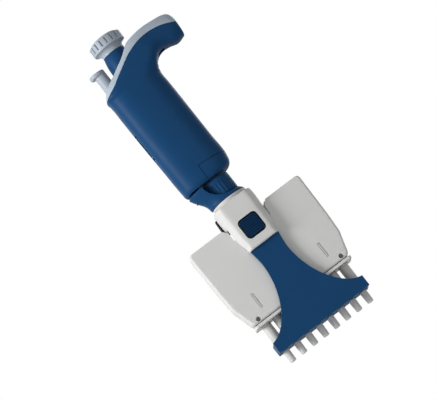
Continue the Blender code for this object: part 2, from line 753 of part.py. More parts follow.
def handle_stations(wall=0.0, hollow=False):
    """Cross-sections of the handle, each from its inner edge to its outer edge.

    A station is (inner x, inner z, outer x, outer z, half depth). The grip's stations are
    level; those above it fan out round the finger's place under the hook.
    """
    grip = [
        (0.0, 0.881, 0.614, 0.862),
        (0.0006, 0.903, 0.749, 0.903),
        (0.0020, 0.924, 0.877, 0.952),
        (0.0040, 0.928, 0.947, 0.972),
        (0.0075, 0.936, 0.994, 0.986),
    ]
    rows = [(HANDLE_Z + rise, left, right, depth) for rise, left, right, depth in grip]
    for share, left, right, depth in (
        (0.31, 0.953, 0.994, 1.0),
        (0.60, 0.983, 0.988, 1.0),
        (0.90, 0.996, 0.977, 1.0),
        (1.0, 1.0, 0.965, 1.0),
    ):
        rows.append((HANDLE_Z + GRIP_HEIGHT * share, left, right, depth))
    stations = [
        (GRIP_RIGHT * right - wall, z, wall - GRIP_LEFT * left, z, GRIP_HALF_DEPTH * depth - wall)
        for z, left, right, depth in rows
    ]
    if hollow:
        floor = [stations[2][:1] + (HANDLE_Z + HANDLE_FLOOR,) + stations[2][2:3] + (HANDLE_Z + HANDLE_FLOOR,)
                 + stations[2][4:]]
        top = stations[-1]
        roof = [(top[0], DECK_Z, top[2], DECK_Z, top[4])]
        return floor + stations[3:] + roof
    reach = HOOK_REACH - 0.0447
    fan = [
        (0.0169, 0.0024, -0.0233, 0.0054, 1.0),
        (0.0178, 0.0044, -0.0204, 0.0108, 1.0),
        (0.0184, 0.0060, -0.0155, 0.0138, 1.0),
        (0.0192, 0.0072, -0.0099, 0.0165, 1.0),
        (0.0200, 0.0083, -0.0050, 0.0200, 0.995),
        (0.0210, 0.0092, -0.0001, 0.0234, 0.986),
        (0.0222, 0.0102, 0.0048, 0.0265, 0.97),
        (0.0236, 0.0109, 0.0097, 0.0291, 0.952),
        (0.0255, 0.0115, 0.0160, 0.0308, 0.91),
        (0.0276, 0.0117, 0.0220, 0.0317, 0.862),
        (0.0329, 0.0110, 0.0329, 0.0314, 0.793),
        (0.0381, 0.0099, 0.0395, 0.0306, 0.724),
        (0.0415, 0.0098, 0.0428, 0.0295, 0.641),
        (0.0436, 0.0109, 0.0443, 0.0274, 0.517),
        (0.0446, 0.0135, 0.0447, 0.0245, 0.31),
    ]
    for inner_x, inner_z, outer_x, outer_z, depth in fan:
        stations.append((
            inner_x + reach * max(0.0, (inner_x - 0.02) / 0.0247),
            GRIP_TOP + inner_z,
            (outer_x + reach * max(0.0, (outer_x - 0.02) / 0.0247)) if outer_x > 0 else outer_x * GRIP_LEFT / 0.0236,
            GRIP_TOP + outer_z,
            GRIP_HALF_DEPTH * depth,
        ))
    return stations


def section(station, sides=22, power=2.7):
    """One ring of the handle: a superellipse between its inner and outer edges."""
    inner_x, inner_z, outer_x, outer_z, half_depth = station
    middle = Vector(((inner_x + outer_x) / 2, 0.0, (inner_z + outer_z) / 2))
    half = Vector(((inner_x - outer_x) / 2, 0.0, (inner_z - outer_z) / 2))
    points = []
    for index in range(sides):
        angle = 2 * math.pi * (index + 0.5) / sides
        across = math.copysign(abs(math.cos(angle)) ** (2 / power), math.cos(angle))
        along = math.copysign(abs(math.sin(angle)) ** (2 / power), math.sin(angle))
        points.append(tuple(middle + half * across + Vector((0.0, half_depth * along, 0.0))))
    return points


def parting_outline(lift):
    """The line where the top cover meets the shell, closed above the handle."""
    line = [
        (-0.0260, 0.0040), (-0.0211, 0.0062), (-0.0146, 0.0090), (-0.0081, 0.0129), (-0.0015, 0.0167),
        (0.0050, 0.0203), (0.0115, 0.0228), (0.0181, 0.0245), (0.0246, 0.0250), (0.0312, 0.0244),
        (0.0378, 0.0227), (0.0418, 0.0211), (0.0460, 0.0190),
    ]
    line = [(x, GRIP_TOP + z + lift) for x, z in line]
    line[0] = (-0.03, line[0][1] - 0.001)
    line[-1] = (HOOK_REACH + 0.005, line[-1][1])
    return line + [(HOOK_REACH + 0.005, GRIP_TOP + 0.05), (-0.03, GRIP_TOP + 0.05)]


def make_handle(paints, window_low, window_high):
    """Build the shell, the top cover, the calibration cover and the window."""
    solid = [section(station) for station in handle_stations()]
    inner = [section(station) for station in handle_stations(HANDLE_WALL, True)]
    depth = GRIP_HALF_DEPTH + 0.01
    hollow = skin("handle hollow", inner)
    neck_hole = cylinder("neck hole", NECK_RADIUS + CLEARANCE, HANDLE_Z - 0.005, HANDLE_Z + 0.005, None, 28)
    sleeve_hole = cylinder("sleeve hole", SLEEVE_RADIUS + RUNNING_CLEARANCE, DECK_Z - 0.001, GRIP_TOP + 0.05,
                           None, 32)
    knob_well = cylinder("knob well", KNOB_RADIUS + 0.0006, KNOB_Z - PLUNGER_STROKE - 0.0006, GRIP_TOP + 0.05,
                         None, 36)
    stem_hole = cylinder("ejector stem hole", EJECTOR_STEM_RADIUS + CLEARANCE, DECK_Z - 0.001, GRIP_TOP + 0.05,
                         None, 28, "Z", (-EJECTOR_X, 0.0))
    cap_well = cylinder("ejector cap well", EJECTOR_CAP_RADIUS + 0.0005, EJECTOR_CAP_Z - EJECTOR_STROKE - 0.0005,
                        GRIP_TOP + 0.05, None, 28, "Z", (-EJECTOR_CAP_X, 0.0))

    shell = skin("handle_shell", solid, paints["blue"])
    cut(shell, prism("above parting", parting_outline(-CLEARANCE / 2), -depth, depth))
    cut(shell, hollow)
    for tool in (neck_hole, sleeve_hole, knob_well, stem_hole):
        cut(shell, tool)
    post_slot = box(
        "arm post slot",
        (-ARM_POST_X - ARM_POST_HALF - RUNNING_CLEARANCE, -ARM_POST_HALF - RUNNING_CLEARANCE, HANDLE_Z - 0.005),
        (-ARM_POST_X + ARM_POST_HALF + RUNNING_CLEARANCE, ARM_POST_HALF + RUNNING_CLEARANCE, HANDLE_Z + 0.004),
    )
    cut(shell, post_slot)
    window_gap = box(
        "window opening",
        (-GRIP_LEFT - 0.01, -WINDOW_HALF_WIDTH, window_low),
        (-GRIP_LEFT + HANDLE_WALL + 0.003, WINDOW_HALF_WIDTH, window_high),
    )
    cut(shell, window_gap)
    left = -CALIBRATION_COVER_LEFT
    top = HANDLE_Z + CALIBRATION_COVER_HEIGHT
    below = HANDLE_Z - 0.005
    right = GRIP_RIGHT + 0.01
    cover_line = [(left, below), (left, top), (GRIP_RIGHT, top - 0.0015), (right, top - 0.0015), (right, below)]
    cut(shell, prism("calibration cover opening", cover_line, -depth, depth))
    slot_depth = HANGER_SLOT_DEPTH
    slot_x = HOOK_REACH - 0.0197
    cut(shell, box("hanger slot", (slot_x - 0.003, -0.004, GRIP_TOP), (slot_x + 0.003, 0.004,
                                                                       GRIP_TOP + 0.0117 + slot_depth)))
    bake(shell)

    cover = skin("top_cover", solid, paints["cover"])
    cut(cover, prism("top cover part", parting_outline(CLEARANCE / 2), -depth, depth), "INTERSECT")
    for tool in (sleeve_hole, knob_well, stem_hole, cap_well):
        cut(cover, tool)
    bake(cover)

    gap = CLEARANCE
    part_line = [(left + gap, below), (left + gap, top - gap), (GRIP_RIGHT, top - 0.0015 - gap),
                 (right, top - 0.0015 - gap), (right, below)]
    lid = skin("calibration_cover", solid, paints["blue"])
    cut(lid, prism("calibration cover part", part_line, -depth, depth), "INTERSECT")
    cut(lid, hollow)
    cut(lid, neck_hole)
    bake(lid)

    window = skin("display_window", solid, paints["window"])
    cut(
        window,
        box(
            "window part",
            (-GRIP_LEFT - 0.01, -WINDOW_HALF_WIDTH + gap, window_low + gap),
            (-GRIP_LEFT + HANDLE_WALL + 0.003, WINDOW_HALF_WIDTH - gap, window_high - gap),
        ),
        "INTERSECT",
    )
    cut(window, hollow)
    bake(window)


def coil(name, radius, wire, low, high, turns, material, x=0.0):
    """Wind a compression spring along Z from a poly curve."""
    curve = bpy.data.curves.new(name, "CURVE")
    curve.dimensions = "3D"
    curve.bevel_depth = wire
    curve.bevel_resolution = 0
    curve.use_fill_caps = True
    steps = 9 * turns
    spline = curve.splines.new("POLY")
    spline.points.add(steps)
    for index, point in enumerate(spline.points):
        angle = 2 * math.pi * index / 9
        height = low + wire + (high - low - 2 * wire) * index / steps
        point.co = (x + radius * math.cos(angle), radius * math.sin(angle), height, 1.0)
    guide = bpy.data.objects.new(name + " guide", curve)
    bpy.data.collections[PARTS].objects.link(guide)
    graph = bpy.context.evaluated_depsgraph_get()
    graph.update()
    mesh = bpy.data.meshes.new_from_object(guide.evaluated_get(graph))
    bpy.data.objects.remove(guide, do_unlink=True)
    bm = bmesh.new()
    bm.from_mesh(mesh)
    bmesh.ops.remove_doubles(bm, verts=bm.verts, dist=0.00001)
    bpy.data.meshes.remove(mesh)
    return add(name, bm, material, 60)


def gear_outline(teeth, pitch_radius, height, root, half_share, turn):
    """A gear's outline with straight-sided teeth."""
    points = []
    step = 2 * math.pi / teeth
    for index in range(teeth):
        middle = step * (index + turn)
        for share, size in ((-1.0, -root), (-0.55, height), (0.55, height), (1.0, -root)):
            angle = middle + share * half_share * step
            points.append(((pitch_radius + size) * math.cos(angle), (pitch_radius + size) * math.sin(angle)))
    return points


def ring_plate(name, x, radius, bore, low, high, material, sides=32):
    """A flat ring or drum about a vertical line."""
    plate = turned(name, [(radius, high), (radius, low), (bore, low), (bore, high)], sides, material, (x, 0.0, 0.0))
    return bake(plate)


def make_inner_frame(paints, levels):
    """Build the frame inside the grip, with its neck tube and the three plates."""
    x_right = GEAR_TEETH * GEAR_MODULE / 2 + COLUMN_THICKNESS + 0.0007
    frame = cylinder("inner_frame", NECK_RADIUS, levels["neck_low"], levels["plate_low"] + 0.001, paints["chassis"], 22)
    post = box("frame column", (x_right - COLUMN_THICKNESS, -0.004, levels["plate_low"]),
               (x_right, 0.004, levels["top_high"]))
    low_plate = box("frame foot", (-0.0118, -0.0068, levels["plate_low"]), (x_right, 0.0068, levels["plate_high"]))
    round_edges(low_plate, 0.002, 1)
    cut(frame, low_plate, "UNION")
    cut(frame, post, "UNION")
    mid_ring = cylinder("frame ring", 0.0098, levels["mid_low"], levels["mid_high"], None, 20)
    mid_tab = box("frame tab", (-COUNTER_X - 0.003, -0.004, levels["mid_low"] + 0.0001),
                  (x_right - 0.001, 0.004, levels["mid_high"] - 0.0001))
    cut(frame, mid_ring, "UNION")
    cut(frame, mid_tab, "UNION")
    top_plate = box("frame head", (-0.0105, -0.0072, levels["top_low"]),
                    (x_right - 0.0001, 0.0072, levels["top_high"] - 0.0001))
    top_tab = box("frame head tab", (-EJECTOR_X - 0.0035, -0.0058, levels["top_low"] + 0.0001),
                  (0.0, 0.0058, levels["top_high"]))
    cut(frame, top_plate, "UNION")
    cut(frame, top_tab, "UNION")
    cut(frame, cylinder("neck bore", NECK_RADIUS - 0.0009, levels["neck_low"] - 0.001, levels["plate_low"] - 0.0015,
                        None, 18))
    cut(frame, cylinder("rod bore", ROD_RADIUS + RUNNING_CLEARANCE, levels["neck_low"], levels["mid_low"], None, 12))
    cut(frame, cylinder("volume nut way", VOLUME_NUT_RADIUS + RUNNING_CLEARANCE, levels["mid_low"] - 0.001,
                        levels["mid_high"] + 0.001, None, 18))
    cut(frame, cylinder("gear boss way", GEAR_BOSS_RADIUS + CLEARANCE, levels["top_low"] - 0.001,
                        levels["top_high"] + 0.001, None, 18))
    cut(frame, cylinder("axle seats", AXLE_RADIUS + CLEARANCE, levels["mid_low"] + 0.0006,
                        levels["top_high"] - 0.0006, None, 10, "Z", (-COUNTER_X, 0.0)))
    bake(frame)


def make_mechanism(paints):
    """Build what lies inside the grip and return the levels that others need."""
    plate_low = HANDLE_Z + HANDLE_FLOOR + CLEARANCE
    levels = {
        "plate_low": plate_low,
        "plate_high": plate_low + FRAME_PLATE,
        "mid_low": plate_low + 0.028,
        "mid_high": plate_low + 0.028 + FRAME_PLATE,
        "top_high": SLEEVE_LOW - PLUNGER_STROKE - 0.0006,
        "top_low": SLEEVE_LOW - PLUNGER_STROKE - 0.0006 - FRAME_PLATE,
    }
    nut_low = levels["plate_high"] + CLEARANCE
    nut_high = nut_low + 0.0045
    spring_low = nut_high + CLEARANCE
    spring_high = spring_low + 0.0086
    washer_low = spring_high + CLEARANCE
    bore = ROD_RADIUS + RUNNING_CLEARANCE
    hexagon = [(0.008 * math.cos(math.radians(60 * side)), 0.008 * math.sin(math.radians(60 * side)))
               for side in range(6)]
    nut = prism("calibration_nut", hexagon, nut_low, nut_high, "Z", paints["brass"])
    cut(nut, cylinder("calibration nut bore", bore, nut_low - 0.001, nut_high + 0.001, None, 16))
    bake(nut)
    coil("blowout_spring", 0.0052, 0.0006, spring_low, spring_high, 4, paints["steel"])
    ring_plate("stop_washer", 0.0, 0.0064, bore, washer_low, washer_low + 0.0012, paints["steel"], 18)
    volume_low = washer_low + 0.0012 + 0.0042
    ring_plate("volume_nut", 0.0, VOLUME_NUT_RADIUS, bore, volume_low, volume_low + 0.006, paints["gear"], 18)

    drum_low = levels["mid_high"] + CLEARANCE
    gear_top = levels["top_low"] - CLEARANCE
    pitch = (gear_top - 0.0061 - drum_low) / 3
    axle_bore = AXLE_RADIUS + CLEARANCE
    for index, name in enumerate(("hundreds_drum", "tens_drum")):
        low = drum_low + pitch * index
        ring_plate(name, -COUNTER_X, DRUM_RADIUS, axle_bore, low, low + pitch - CLEARANCE, paints["drum"], 20)
    low = drum_low + pitch * 2
    drum_top = low + pitch - CLEARANCE
    pinion = prism(
        "units_drum",
        gear_outline(PINION_TEETH, PINION_TEETH * GEAR_MODULE / 2, GEAR_MODULE * 0.6, GEAR_MODULE * 1.2, 0.32, 0.5),
        drum_top - 0.0005,
        gear_top,
        "Z",
        paints["drum"],
    )
    cut(pinion, cylinder("units drum rim", DRUM_RADIUS, low, drum_top, None, 20), "UNION")
    cut(pinion, cylinder("units drum bore", axle_bore, low - 0.001, gear_top + 0.001, None, 10))
    pinion.location = (-COUNTER_X, 0.0, 0.0)
    for tool in ("units drum rim", "units drum bore"):
        bpy.data.objects[tool].location = (-COUNTER_X, 0.0, 0.0)
    bake(pinion)
    cylinder("counter_axle", AXLE_RADIUS, levels["mid_low"] + 0.0009, levels["top_high"] - 0.0009, paints["steel"], 10,
             "Z", (-COUNTER_X, 0.0))

    gear_radius = GEAR_TEETH * GEAR_MODULE / 2
    gear = prism(
        "drive_gear",
        gear_outline(GEAR_TEETH, gear_radius, GEAR_MODULE * 0.6, GEAR_MODULE * 1.2, 0.32, 0.0),
        gear_top - 0.003,
        gear_top,
        "Z",
        paints["gear"],
    )
    boss = cylinder("gear boss", GEAR_BOSS_RADIUS, gear_top - 0.0004, levels["top_high"] - 0.0003, None, 18)
    cut(gear, boss, "UNION")
    cut(gear, cylinder("gear bore", bore, gear_top - 0.01, gear_top + 0.01, None, 16))
    bake(gear)

    levels["window_low"] = drum_low - 0.0005
    levels["window_high"] = drum_top + 0.0005
    return levels


def make_plunger(paints, levels, rod_bottom):
    """Build the rod, the sleeve with its cone, the return spring, the knob and its cap."""
    rod_top = KNOB_Z + 0.0070
    cylinder("plunger_rod", ROD_RADIUS, rod_bottom, rod_top, paints["steel"], 16)
    top = KNOB_Z - CLEARANCE
    ceiling = KNOB_Z - 0.0070
    cone = [
        (SLEEVE_RADIUS * 0.823, top),
        (SLEEVE_RADIUS * 0.906, KNOB_Z - 0.0034),
        (SLEEVE_RADIUS * 0.969, KNOB_Z - 0.0074),
        (SLEEVE_RADIUS, KNOB_Z - 0.0140),
        (SLEEVE_RADIUS, SLEEVE_LOW),
        (SLEEVE_BORE_RADIUS, SLEEVE_LOW),
        (SLEEVE_BORE_RADIUS, ceiling),
        (ROD_RADIUS + CLEARANCE, ceiling),
        (ROD_RADIUS + CLEARANCE, top),
    ]
    bake(turned("plunger_sleeve", cone, 28, paints["blue"]))
    coil("return_spring", SLEEVE_BORE_RADIUS - 0.0010, 0.0006, levels["top_high"] + CLEARANCE, ceiling - CLEARANCE, 7,
         paints["steel"])

    rim_low = KNOB_Z + 0.0045
    rim_high = rim_low + KNOB_RIM_HEIGHT
    recess = KNOB_RADIUS - 0.0016
    skirt = arc((KNOB_RADIUS + 0.0004, KNOB_Z - 0.0006), 0.0043, 100, 172, 3)
    profile = [
        (recess, rim_high),
        (KNOB_RADIUS, rim_high),
        (KNOB_RADIUS, rim_low - 0.0005),
    ]
    profile += [(x, z) for x, z in skirt if z < rim_low - 0.001 and x > 0.006]
    profile += [
        (0.0080, KNOB_Z),
        (ROD_RADIUS + CLEARANCE, KNOB_Z),
        (ROD_RADIUS + CLEARANCE, rod_top + CLEARANCE),
        (0.0, rod_top + CLEARANCE),
    ]
    knob = turned("volume_knob", [(0.0, rim_high - 0.0022), (recess, rim_high - 0.0022)] + profile, 36,
                  paints["knob"], (0.0, 0.0, 0.0), False)
    bake(knob)
    grooves = bmesh.new()
    for index in range(KNOB_RIBS):
        angle = 2 * math.pi * (index + 0.5) / KNOB_RIBS
        spot = Matrix.Translation(((KNOB_RADIUS + 0.0008) * math.cos(angle), (KNOB_RADIUS + 0.0008) * math.sin(angle),
                                   (rim_low + rim_high) / 2))
        bmesh.ops.create_cone(grooves, cap_ends=True, segments=5, radius1=0.0013, radius2=0.0013,
                              depth=rim_high - rim_low + 0.0006, matrix=spot)
    cut(knob, add("knob grooves", grooves))
    bake(knob)

    cap_low = rim_high - 0.0022 + CLEARANCE
    cap_radius = recess - CLEARANCE
    dome = [(cap_radius * math.sin(math.radians(angle)), rim_high + 0.0007 + 0.0018 * math.cos(math.radians(angle)))
            for angle in (0, 30, 60, 90)]
    cap = turned("knob_cap", dome + [(cap_radius, cap_low), (0.0, cap_low)], 24, paints["cap"], (0.0, 0.0, 0.0), False)
    bake(cap)


def make_ejector(paints, levels, nut_z):
    """Build the ejector's button and stem, the rod inside the grip, its spring and the arm."""
    stem_low = DECK_Z - 0.0001
    cap_high = EJECTOR_CAP_Z + EJECTOR_CAP_HEIGHT
    button = cylinder("ejector_button", EJECTOR_CAP_RADIUS, EJECTOR_CAP_Z, cap_high, paints["knob"], 24, "Z",
                      (-EJECTOR_CAP_X, 0.0))
    round_edges(button, 0.0009, 1)
    stem = cylinder("ejector stem", EJECTOR_STEM_RADIUS, stem_low, EJECTOR_CAP_Z + 0.0015, None, 20, "Z",
                    (-EJECTOR_X, 0.0))
    cut(button, stem, "UNION")
    bake(button)

    block_high = stem_low - CLEARANCE
    block_low = block_high - 0.0047
    jog_low = levels["plate_high"] + EJECTOR_STROKE + 0.007
    rod_foot = HANDLE_Z - 0.0028
    bar_y = (DRUM_RADIUS + RUNNING_CLEARANCE, DRUM_RADIUS + RUNNING_CLEARANCE + 0.0017)
    outline = [
        (-0.0025, block_low), (bar_y[0], block_low), (bar_y[0], jog_low + 0.0025), (-0.001, jog_low + 0.0025),
        (-0.001, rod_foot), (0.001, rod_foot), (0.001, jog_low), (bar_y[1], jog_low), (bar_y[1], block_high),
        (-0.0025, block_high),
    ]
    prism("ejector_rod", outline, -ARM_POST_X - 0.0012, -ARM_POST_X + 0.0012, "X", paints["steel"])
    coil("ejector_spring", 0.0028, 0.0004, levels["top_high"] + CLEARANCE, block_low - CLEARANCE, 4, paints["steel"],
         -EJECTOR_X)

    top = HANDLE_Z - CLEARANCE
    rows = [
        (RING_Z, 0.0134, 0.0125, 0.0125),
        (RING_Z + 0.0008, 0.0138, 0.0122, 0.0122),
        (nut_z - CLEARANCE, 0.0140, 0.0107, 0.0116),
        (nut_z + 0.0032, 0.0153, 0.0107, 0.0116),
        (nut_z + 0.0055, 0.0169, 0.0107, 0.0118),
        (nut_z + 0.0080, 0.0187, 0.0107, 0.0121),
        (nut_z + 0.0102, 0.0201, 0.0107, 0.0124),
        (top, 0.0209, 0.0107, 0.0125),
    ]
    rings = [section((right, z, -left, z, depth), 24, 2.2) for z, left, right, depth in rows]
    arm = skin("ejector_arm", rings, paints["blue"])
    post = box(
        "arm post",
        (-ARM_POST_X - ARM_POST_HALF, -ARM_POST_HALF, top - 0.006),
        (-ARM_POST_X + ARM_POST_HALF, ARM_POST_HALF, levels["plate_high"] + 0.004),
    )
    cut(arm, post, "UNION")
    scoop = cylinder("arm scoop", 0.0137, -0.02, 0.02, None, 32, "Y", (0.0033, nut_z + 0.0134))
    cut(arm, scoop)
    cut(arm, box("arm right side", (0.0033, -0.02, nut_z - CLEARANCE), (0.02, 0.02, top + 0.001)))
    cut(arm, cylinder("arm nut way", NUT_RADIUS + RUNNING_CLEARANCE, nut_z - CLEARANCE, top + 0.001, None, 26))
    cut(arm, cylinder("arm ring bore", COLLAR_BORE_RADIUS, RING_Z - 0.001, nut_z, None, 24))
    cut(arm, box("rod seat", (-ARM_POST_X - 0.0012 - CLEARANCE, -0.001 - CLEARANCE, rod_foot - CLEARANCE),
                 (-ARM_POST_X + 0.0012 + CLEARANCE, 0.001 + CLEARANCE, top + 0.05)))
    bake(arm)


def main():
    """Build every piece."""
    clear_scene()
    paints = {
        "blue": paint("Blue plastic", (0.017, 0.056, 0.125), 0.32),
        "navy": paint("Dark blue plastic", (0.006, 0.016, 0.045), 0.4),
        "cover": paint("Grey-blue plastic", (0.40, 0.46, 0.53), 0.35),
        "knob": paint("Grey plastic", (0.30, 0.33, 0.36), 0.4),
        "cap": paint("Light grey cap", (0.55, 0.58, 0.61), 0.35),
        "collar": paint("White plastic", (0.78, 0.79, 0.80), 0.35),
        "head": paint("Head plastic", (0.62, 0.64, 0.66), 0.38),
        "lip": paint("Grey lip plastic", (0.45, 0.47, 0.49), 0.4),
        "nozzle": paint("Nozzle plastic", (0.60, 0.61, 0.62), 0.35),
        "dark": paint("Black plastic", (0.02, 0.02, 0.022), 0.45),
        "window": paint("Clear window", (0.70, 0.73, 0.75), 0.08),
        "steel": paint("Steel", (0.62, 0.62, 0.63), 0.25, 1.0),
        "brass": paint("Brass", (0.70, 0.52, 0.24), 0.3, 1.0),
        "gear": paint("Gear plastic", (0.75, 0.73, 0.66), 0.5),
        "drum": paint("White drum", (0.85, 0.85, 0.84), 0.45),
        "chassis": paint("Frame plastic", (0.10, 0.10, 0.11), 0.5),
    }
    rod_bottom = HANDLE_Z + HANDLE_FLOOR
    step = make_head(paints)
    foot_z = make_carriage(paints, step, rod_bottom)
    washer_top = make_neck(paints, foot_z, NUT_Z)
    make_lower_ejector(paints)
    levels = make_mechanism(paints)
    levels["neck_low"] = washer_top + CLEARANCE
    make_inner_frame(paints, levels)
    make_plunger(paints, levels, rod_bottom)
    make_ejector(paints, levels, NUT_Z)
    make_handle(paints, levels["window_low"], levels["window_high"])


if __name__ == "__main__":
    main()
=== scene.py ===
"""Studio scene of an eight-channel hand pipette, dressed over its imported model."""

import logging
import math
from dataclasses import dataclass
from enum import Enum
from typing import Optional, Sequence

import bmesh
import bpy
import numpy as np
from mathutils import Matrix, Vector


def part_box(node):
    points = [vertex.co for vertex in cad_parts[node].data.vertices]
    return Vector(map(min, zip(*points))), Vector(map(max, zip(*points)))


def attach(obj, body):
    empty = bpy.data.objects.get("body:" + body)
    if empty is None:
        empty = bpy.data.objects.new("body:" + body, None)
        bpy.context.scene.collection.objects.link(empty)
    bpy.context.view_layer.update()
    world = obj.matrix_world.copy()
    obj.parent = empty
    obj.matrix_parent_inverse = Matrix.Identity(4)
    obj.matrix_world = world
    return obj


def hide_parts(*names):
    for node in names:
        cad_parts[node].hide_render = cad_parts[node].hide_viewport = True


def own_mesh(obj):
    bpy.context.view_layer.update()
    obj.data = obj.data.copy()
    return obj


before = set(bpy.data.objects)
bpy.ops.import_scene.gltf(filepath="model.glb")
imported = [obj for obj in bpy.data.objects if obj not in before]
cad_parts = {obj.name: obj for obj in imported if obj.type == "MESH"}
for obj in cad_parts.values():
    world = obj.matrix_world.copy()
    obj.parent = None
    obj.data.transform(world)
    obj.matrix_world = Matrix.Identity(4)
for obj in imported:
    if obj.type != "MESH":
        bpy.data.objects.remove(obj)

LOG = logging.getLogger("pipette")
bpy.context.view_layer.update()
MM = 0.001
# How far, in millimetres, a cutter runs past the piece that it cuts.
BEYOND = 10.0

Points = Sequence[Sequence[float]] | np.ndarray


class Facing(Enum):
    """The direction along which a flat outline is given its thickness."""

    DEPTH = "y"
    WIDTH = "x"
    HEIGHT = "z"


class Carving(Enum):
    """What a cutter does to the piece that it meets."""

    CUT = "DIFFERENCE"
    JOIN = "UNION"
    KEEP = "INTERSECT"


def linear(hex_colour: str) -> tuple[float, float, float, float]:
    """Turn an sRGB hex colour into linear values.

    Args:
        hex_colour: Six hexadecimal digits, with or without a hash sign.

    Returns:
        Red, green, blue and alpha.
    """
    digits = hex_colour.lstrip("#")
    channels = [int(digits[index : index + 2], 16) / 255 for index in (0, 2, 4)]
    values = [c / 12.92 if c <= 0.04045 else ((c + 0.055) / 1.055) ** 2.4 for c in channels]
    return (values[0], values[1], values[2], 1.0)


def add_node(
    tree: bpy.types.NodeTree,
    kind: str,
    settings: Optional[dict] = None,
    links: Optional[dict] = None,
) -> bpy.types.Node:
    """Add a shader node with its settings and links.

    Args:
        tree: The node tree.
        kind: The node's type name.
        settings: Socket defaults by socket name, or node properties with a leading dot.
        links: Input socket name to an output socket.

    Returns:
        The new node.
    """
    node = tree.nodes.new(kind)
    for name, value in (settings or {}).items():
        if name.startswith("."):
            setattr(node, name[1:], value)
        else:
            node.inputs[name].default_value = value
    for name, socket in (links or {}).items():
        tree.links.new(socket, node.inputs[name])
    return node


def new_material(name: str) -> tuple[bpy.types.Material, bpy.types.NodeTree, bpy.types.Node]:
    """Make a material and hand it out with its tree and its Principled shader.

    Args:
        name: The material's name.

    Returns:
        The material, its node tree and the shader.
    """
    material = bpy.data.materials.new(name)
    material.use_nodes = True
    tree = material.node_tree
    return material, tree, tree.nodes["Principled BSDF"]


@dataclass(frozen=True)
class Moulded:
    """Injection-moulded plastic with a spark-eroded grain and faint flow clouds.

    The grain breaks the highlight up into a satin sheen, and the clouds, some centimetres
    wide, keep a large face from looking painted.
    """

    name: str
    colour: str
    cloud: str
    roughness: float
    grain_mm: float = 0.35
    grain_depth: float = 0.04
    shine: float = 0.5
    cloud_mm: float = 18.0

    def make(self) -> bpy.types.Material:
        """Build the material.

        Returns:
            The material.
        """
        material, tree, shader = new_material(self.name)
        shader.inputs["IOR"].default_value = 1.5
        shader.inputs["Specular IOR Level"].default_value = self.shine
        place = add_node(tree, "ShaderNodeTexCoord").outputs["Object"]
        grain = add_node(
            tree,
            "ShaderNodeTexNoise",
            {"Scale": 1 / (self.grain_mm * MM), "Detail": 3.0, "Roughness": 0.6},
            {"Vector": place},
        )
        clouds = add_node(
            tree,
            "ShaderNodeTexNoise",
            {"Scale": 1 / (self.cloud_mm * MM), "Detail": 4.0, "Roughness": 0.55},
            {"Vector": place},
        )
        tint = add_node(
            tree,
            "ShaderNodeMix",
            {".data_type": "RGBA", "A": linear(self.colour), "B": linear(self.cloud)},
            {"Factor": clouds.outputs["Fac"]},
        )
        tree.links.new(tint.outputs["Result"], shader.inputs["Base Color"])
        gloss = add_node(
            tree,
            "ShaderNodeMapRange",
            {"To Min": self.roughness - 0.05, "To Max": self.roughness + 0.06},
            {"Value": clouds.outputs["Fac"]},
        )
        tree.links.new(gloss.outputs["Result"], shader.inputs["Roughness"])
        bump = add_node(
            tree,
            "ShaderNodeBump",
            {"Strength": self.grain_depth, "Distance": self.grain_mm * MM},
            {"Height": grain.outputs["Fac"]},
        )
        tree.links.new(bump.outputs["Normal"], shader.inputs["Normal"])
        return material


@dataclass(frozen=True)
class TurnedMetal:
    """Bar metal turned or ground on a lathe, with fine rings round its axis."""

    name: str
    colour: str
    roughness: float
    ring_mm: float = 0.12

    def make(self) -> bpy.types.Material:
        """Build the material.

        Returns:
            The material.
        """
        material, tree, shader = new_material(self.name)
        shader.inputs["Base Color"].default_value = linear(self.colour)
        shader.inputs["Metallic"].default_value = 1.0
        place = add_node(tree, "ShaderNodeTexCoord").outputs["Object"]
        stretch = add_node(
            tree,
            "ShaderNodeMapping",
            {"Scale": (40.0, 40.0, 1 / (self.ring_mm * MM))},
            {"Vector": place},
        )
        rings = add_node(
            tree, "ShaderNodeTexNoise", {"Scale": 1.0, "Detail": 4.0}, {"Vector": stretch.outputs["Vector"]}
        )
        rough = add_node(
            tree,
            "ShaderNodeMapRange",
            {"To Min": self.roughness - 0.06, "To Max": self.roughness + 0.1},
            {"Value": rings.outputs["Fac"]},
        )
        tree.links.new(rough.outputs["Result"], shader.inputs["Roughness"])
        bump = add_node(
            tree, "ShaderNodeBump", {"Strength": 0.08, "Distance": 0.0001}, {"Height": rings.outputs["Fac"]}
        )
        tree.links.new(bump.outputs["Normal"], shader.inputs["Normal"])
        return material


@dataclass(frozen=True)
class ClearPlastic:
    """Polished clear acrylic, with only a trace of moulding waviness."""

    name: str
    colour: str

    def make(self) -> bpy.types.Material:
        """Build the material.

        Returns:
            The material.
        """
        material, tree, shader = new_material(self.name)
        shader.inputs["Base Color"].default_value = linear(self.colour)
        shader.inputs["Roughness"].default_value = 0.05
        shader.inputs["IOR"].default_value = 1.49
        shader.inputs["Transmission Weight"].default_value = 1.0
        place = add_node(tree, "ShaderNodeTexCoord").outputs["Object"]
        waves = add_node(tree, "ShaderNodeTexNoise", {"Scale": 180.0, "Detail": 1.0}, {"Vector": place})
        bump = add_node(
            tree, "ShaderNodeBump", {"Strength": 0.02, "Distance": 0.0005}, {"Height": waves.outputs["Fac"]}
        )
        tree.links.new(bump.outputs["Normal"], shader.inputs["Normal"])
        return material


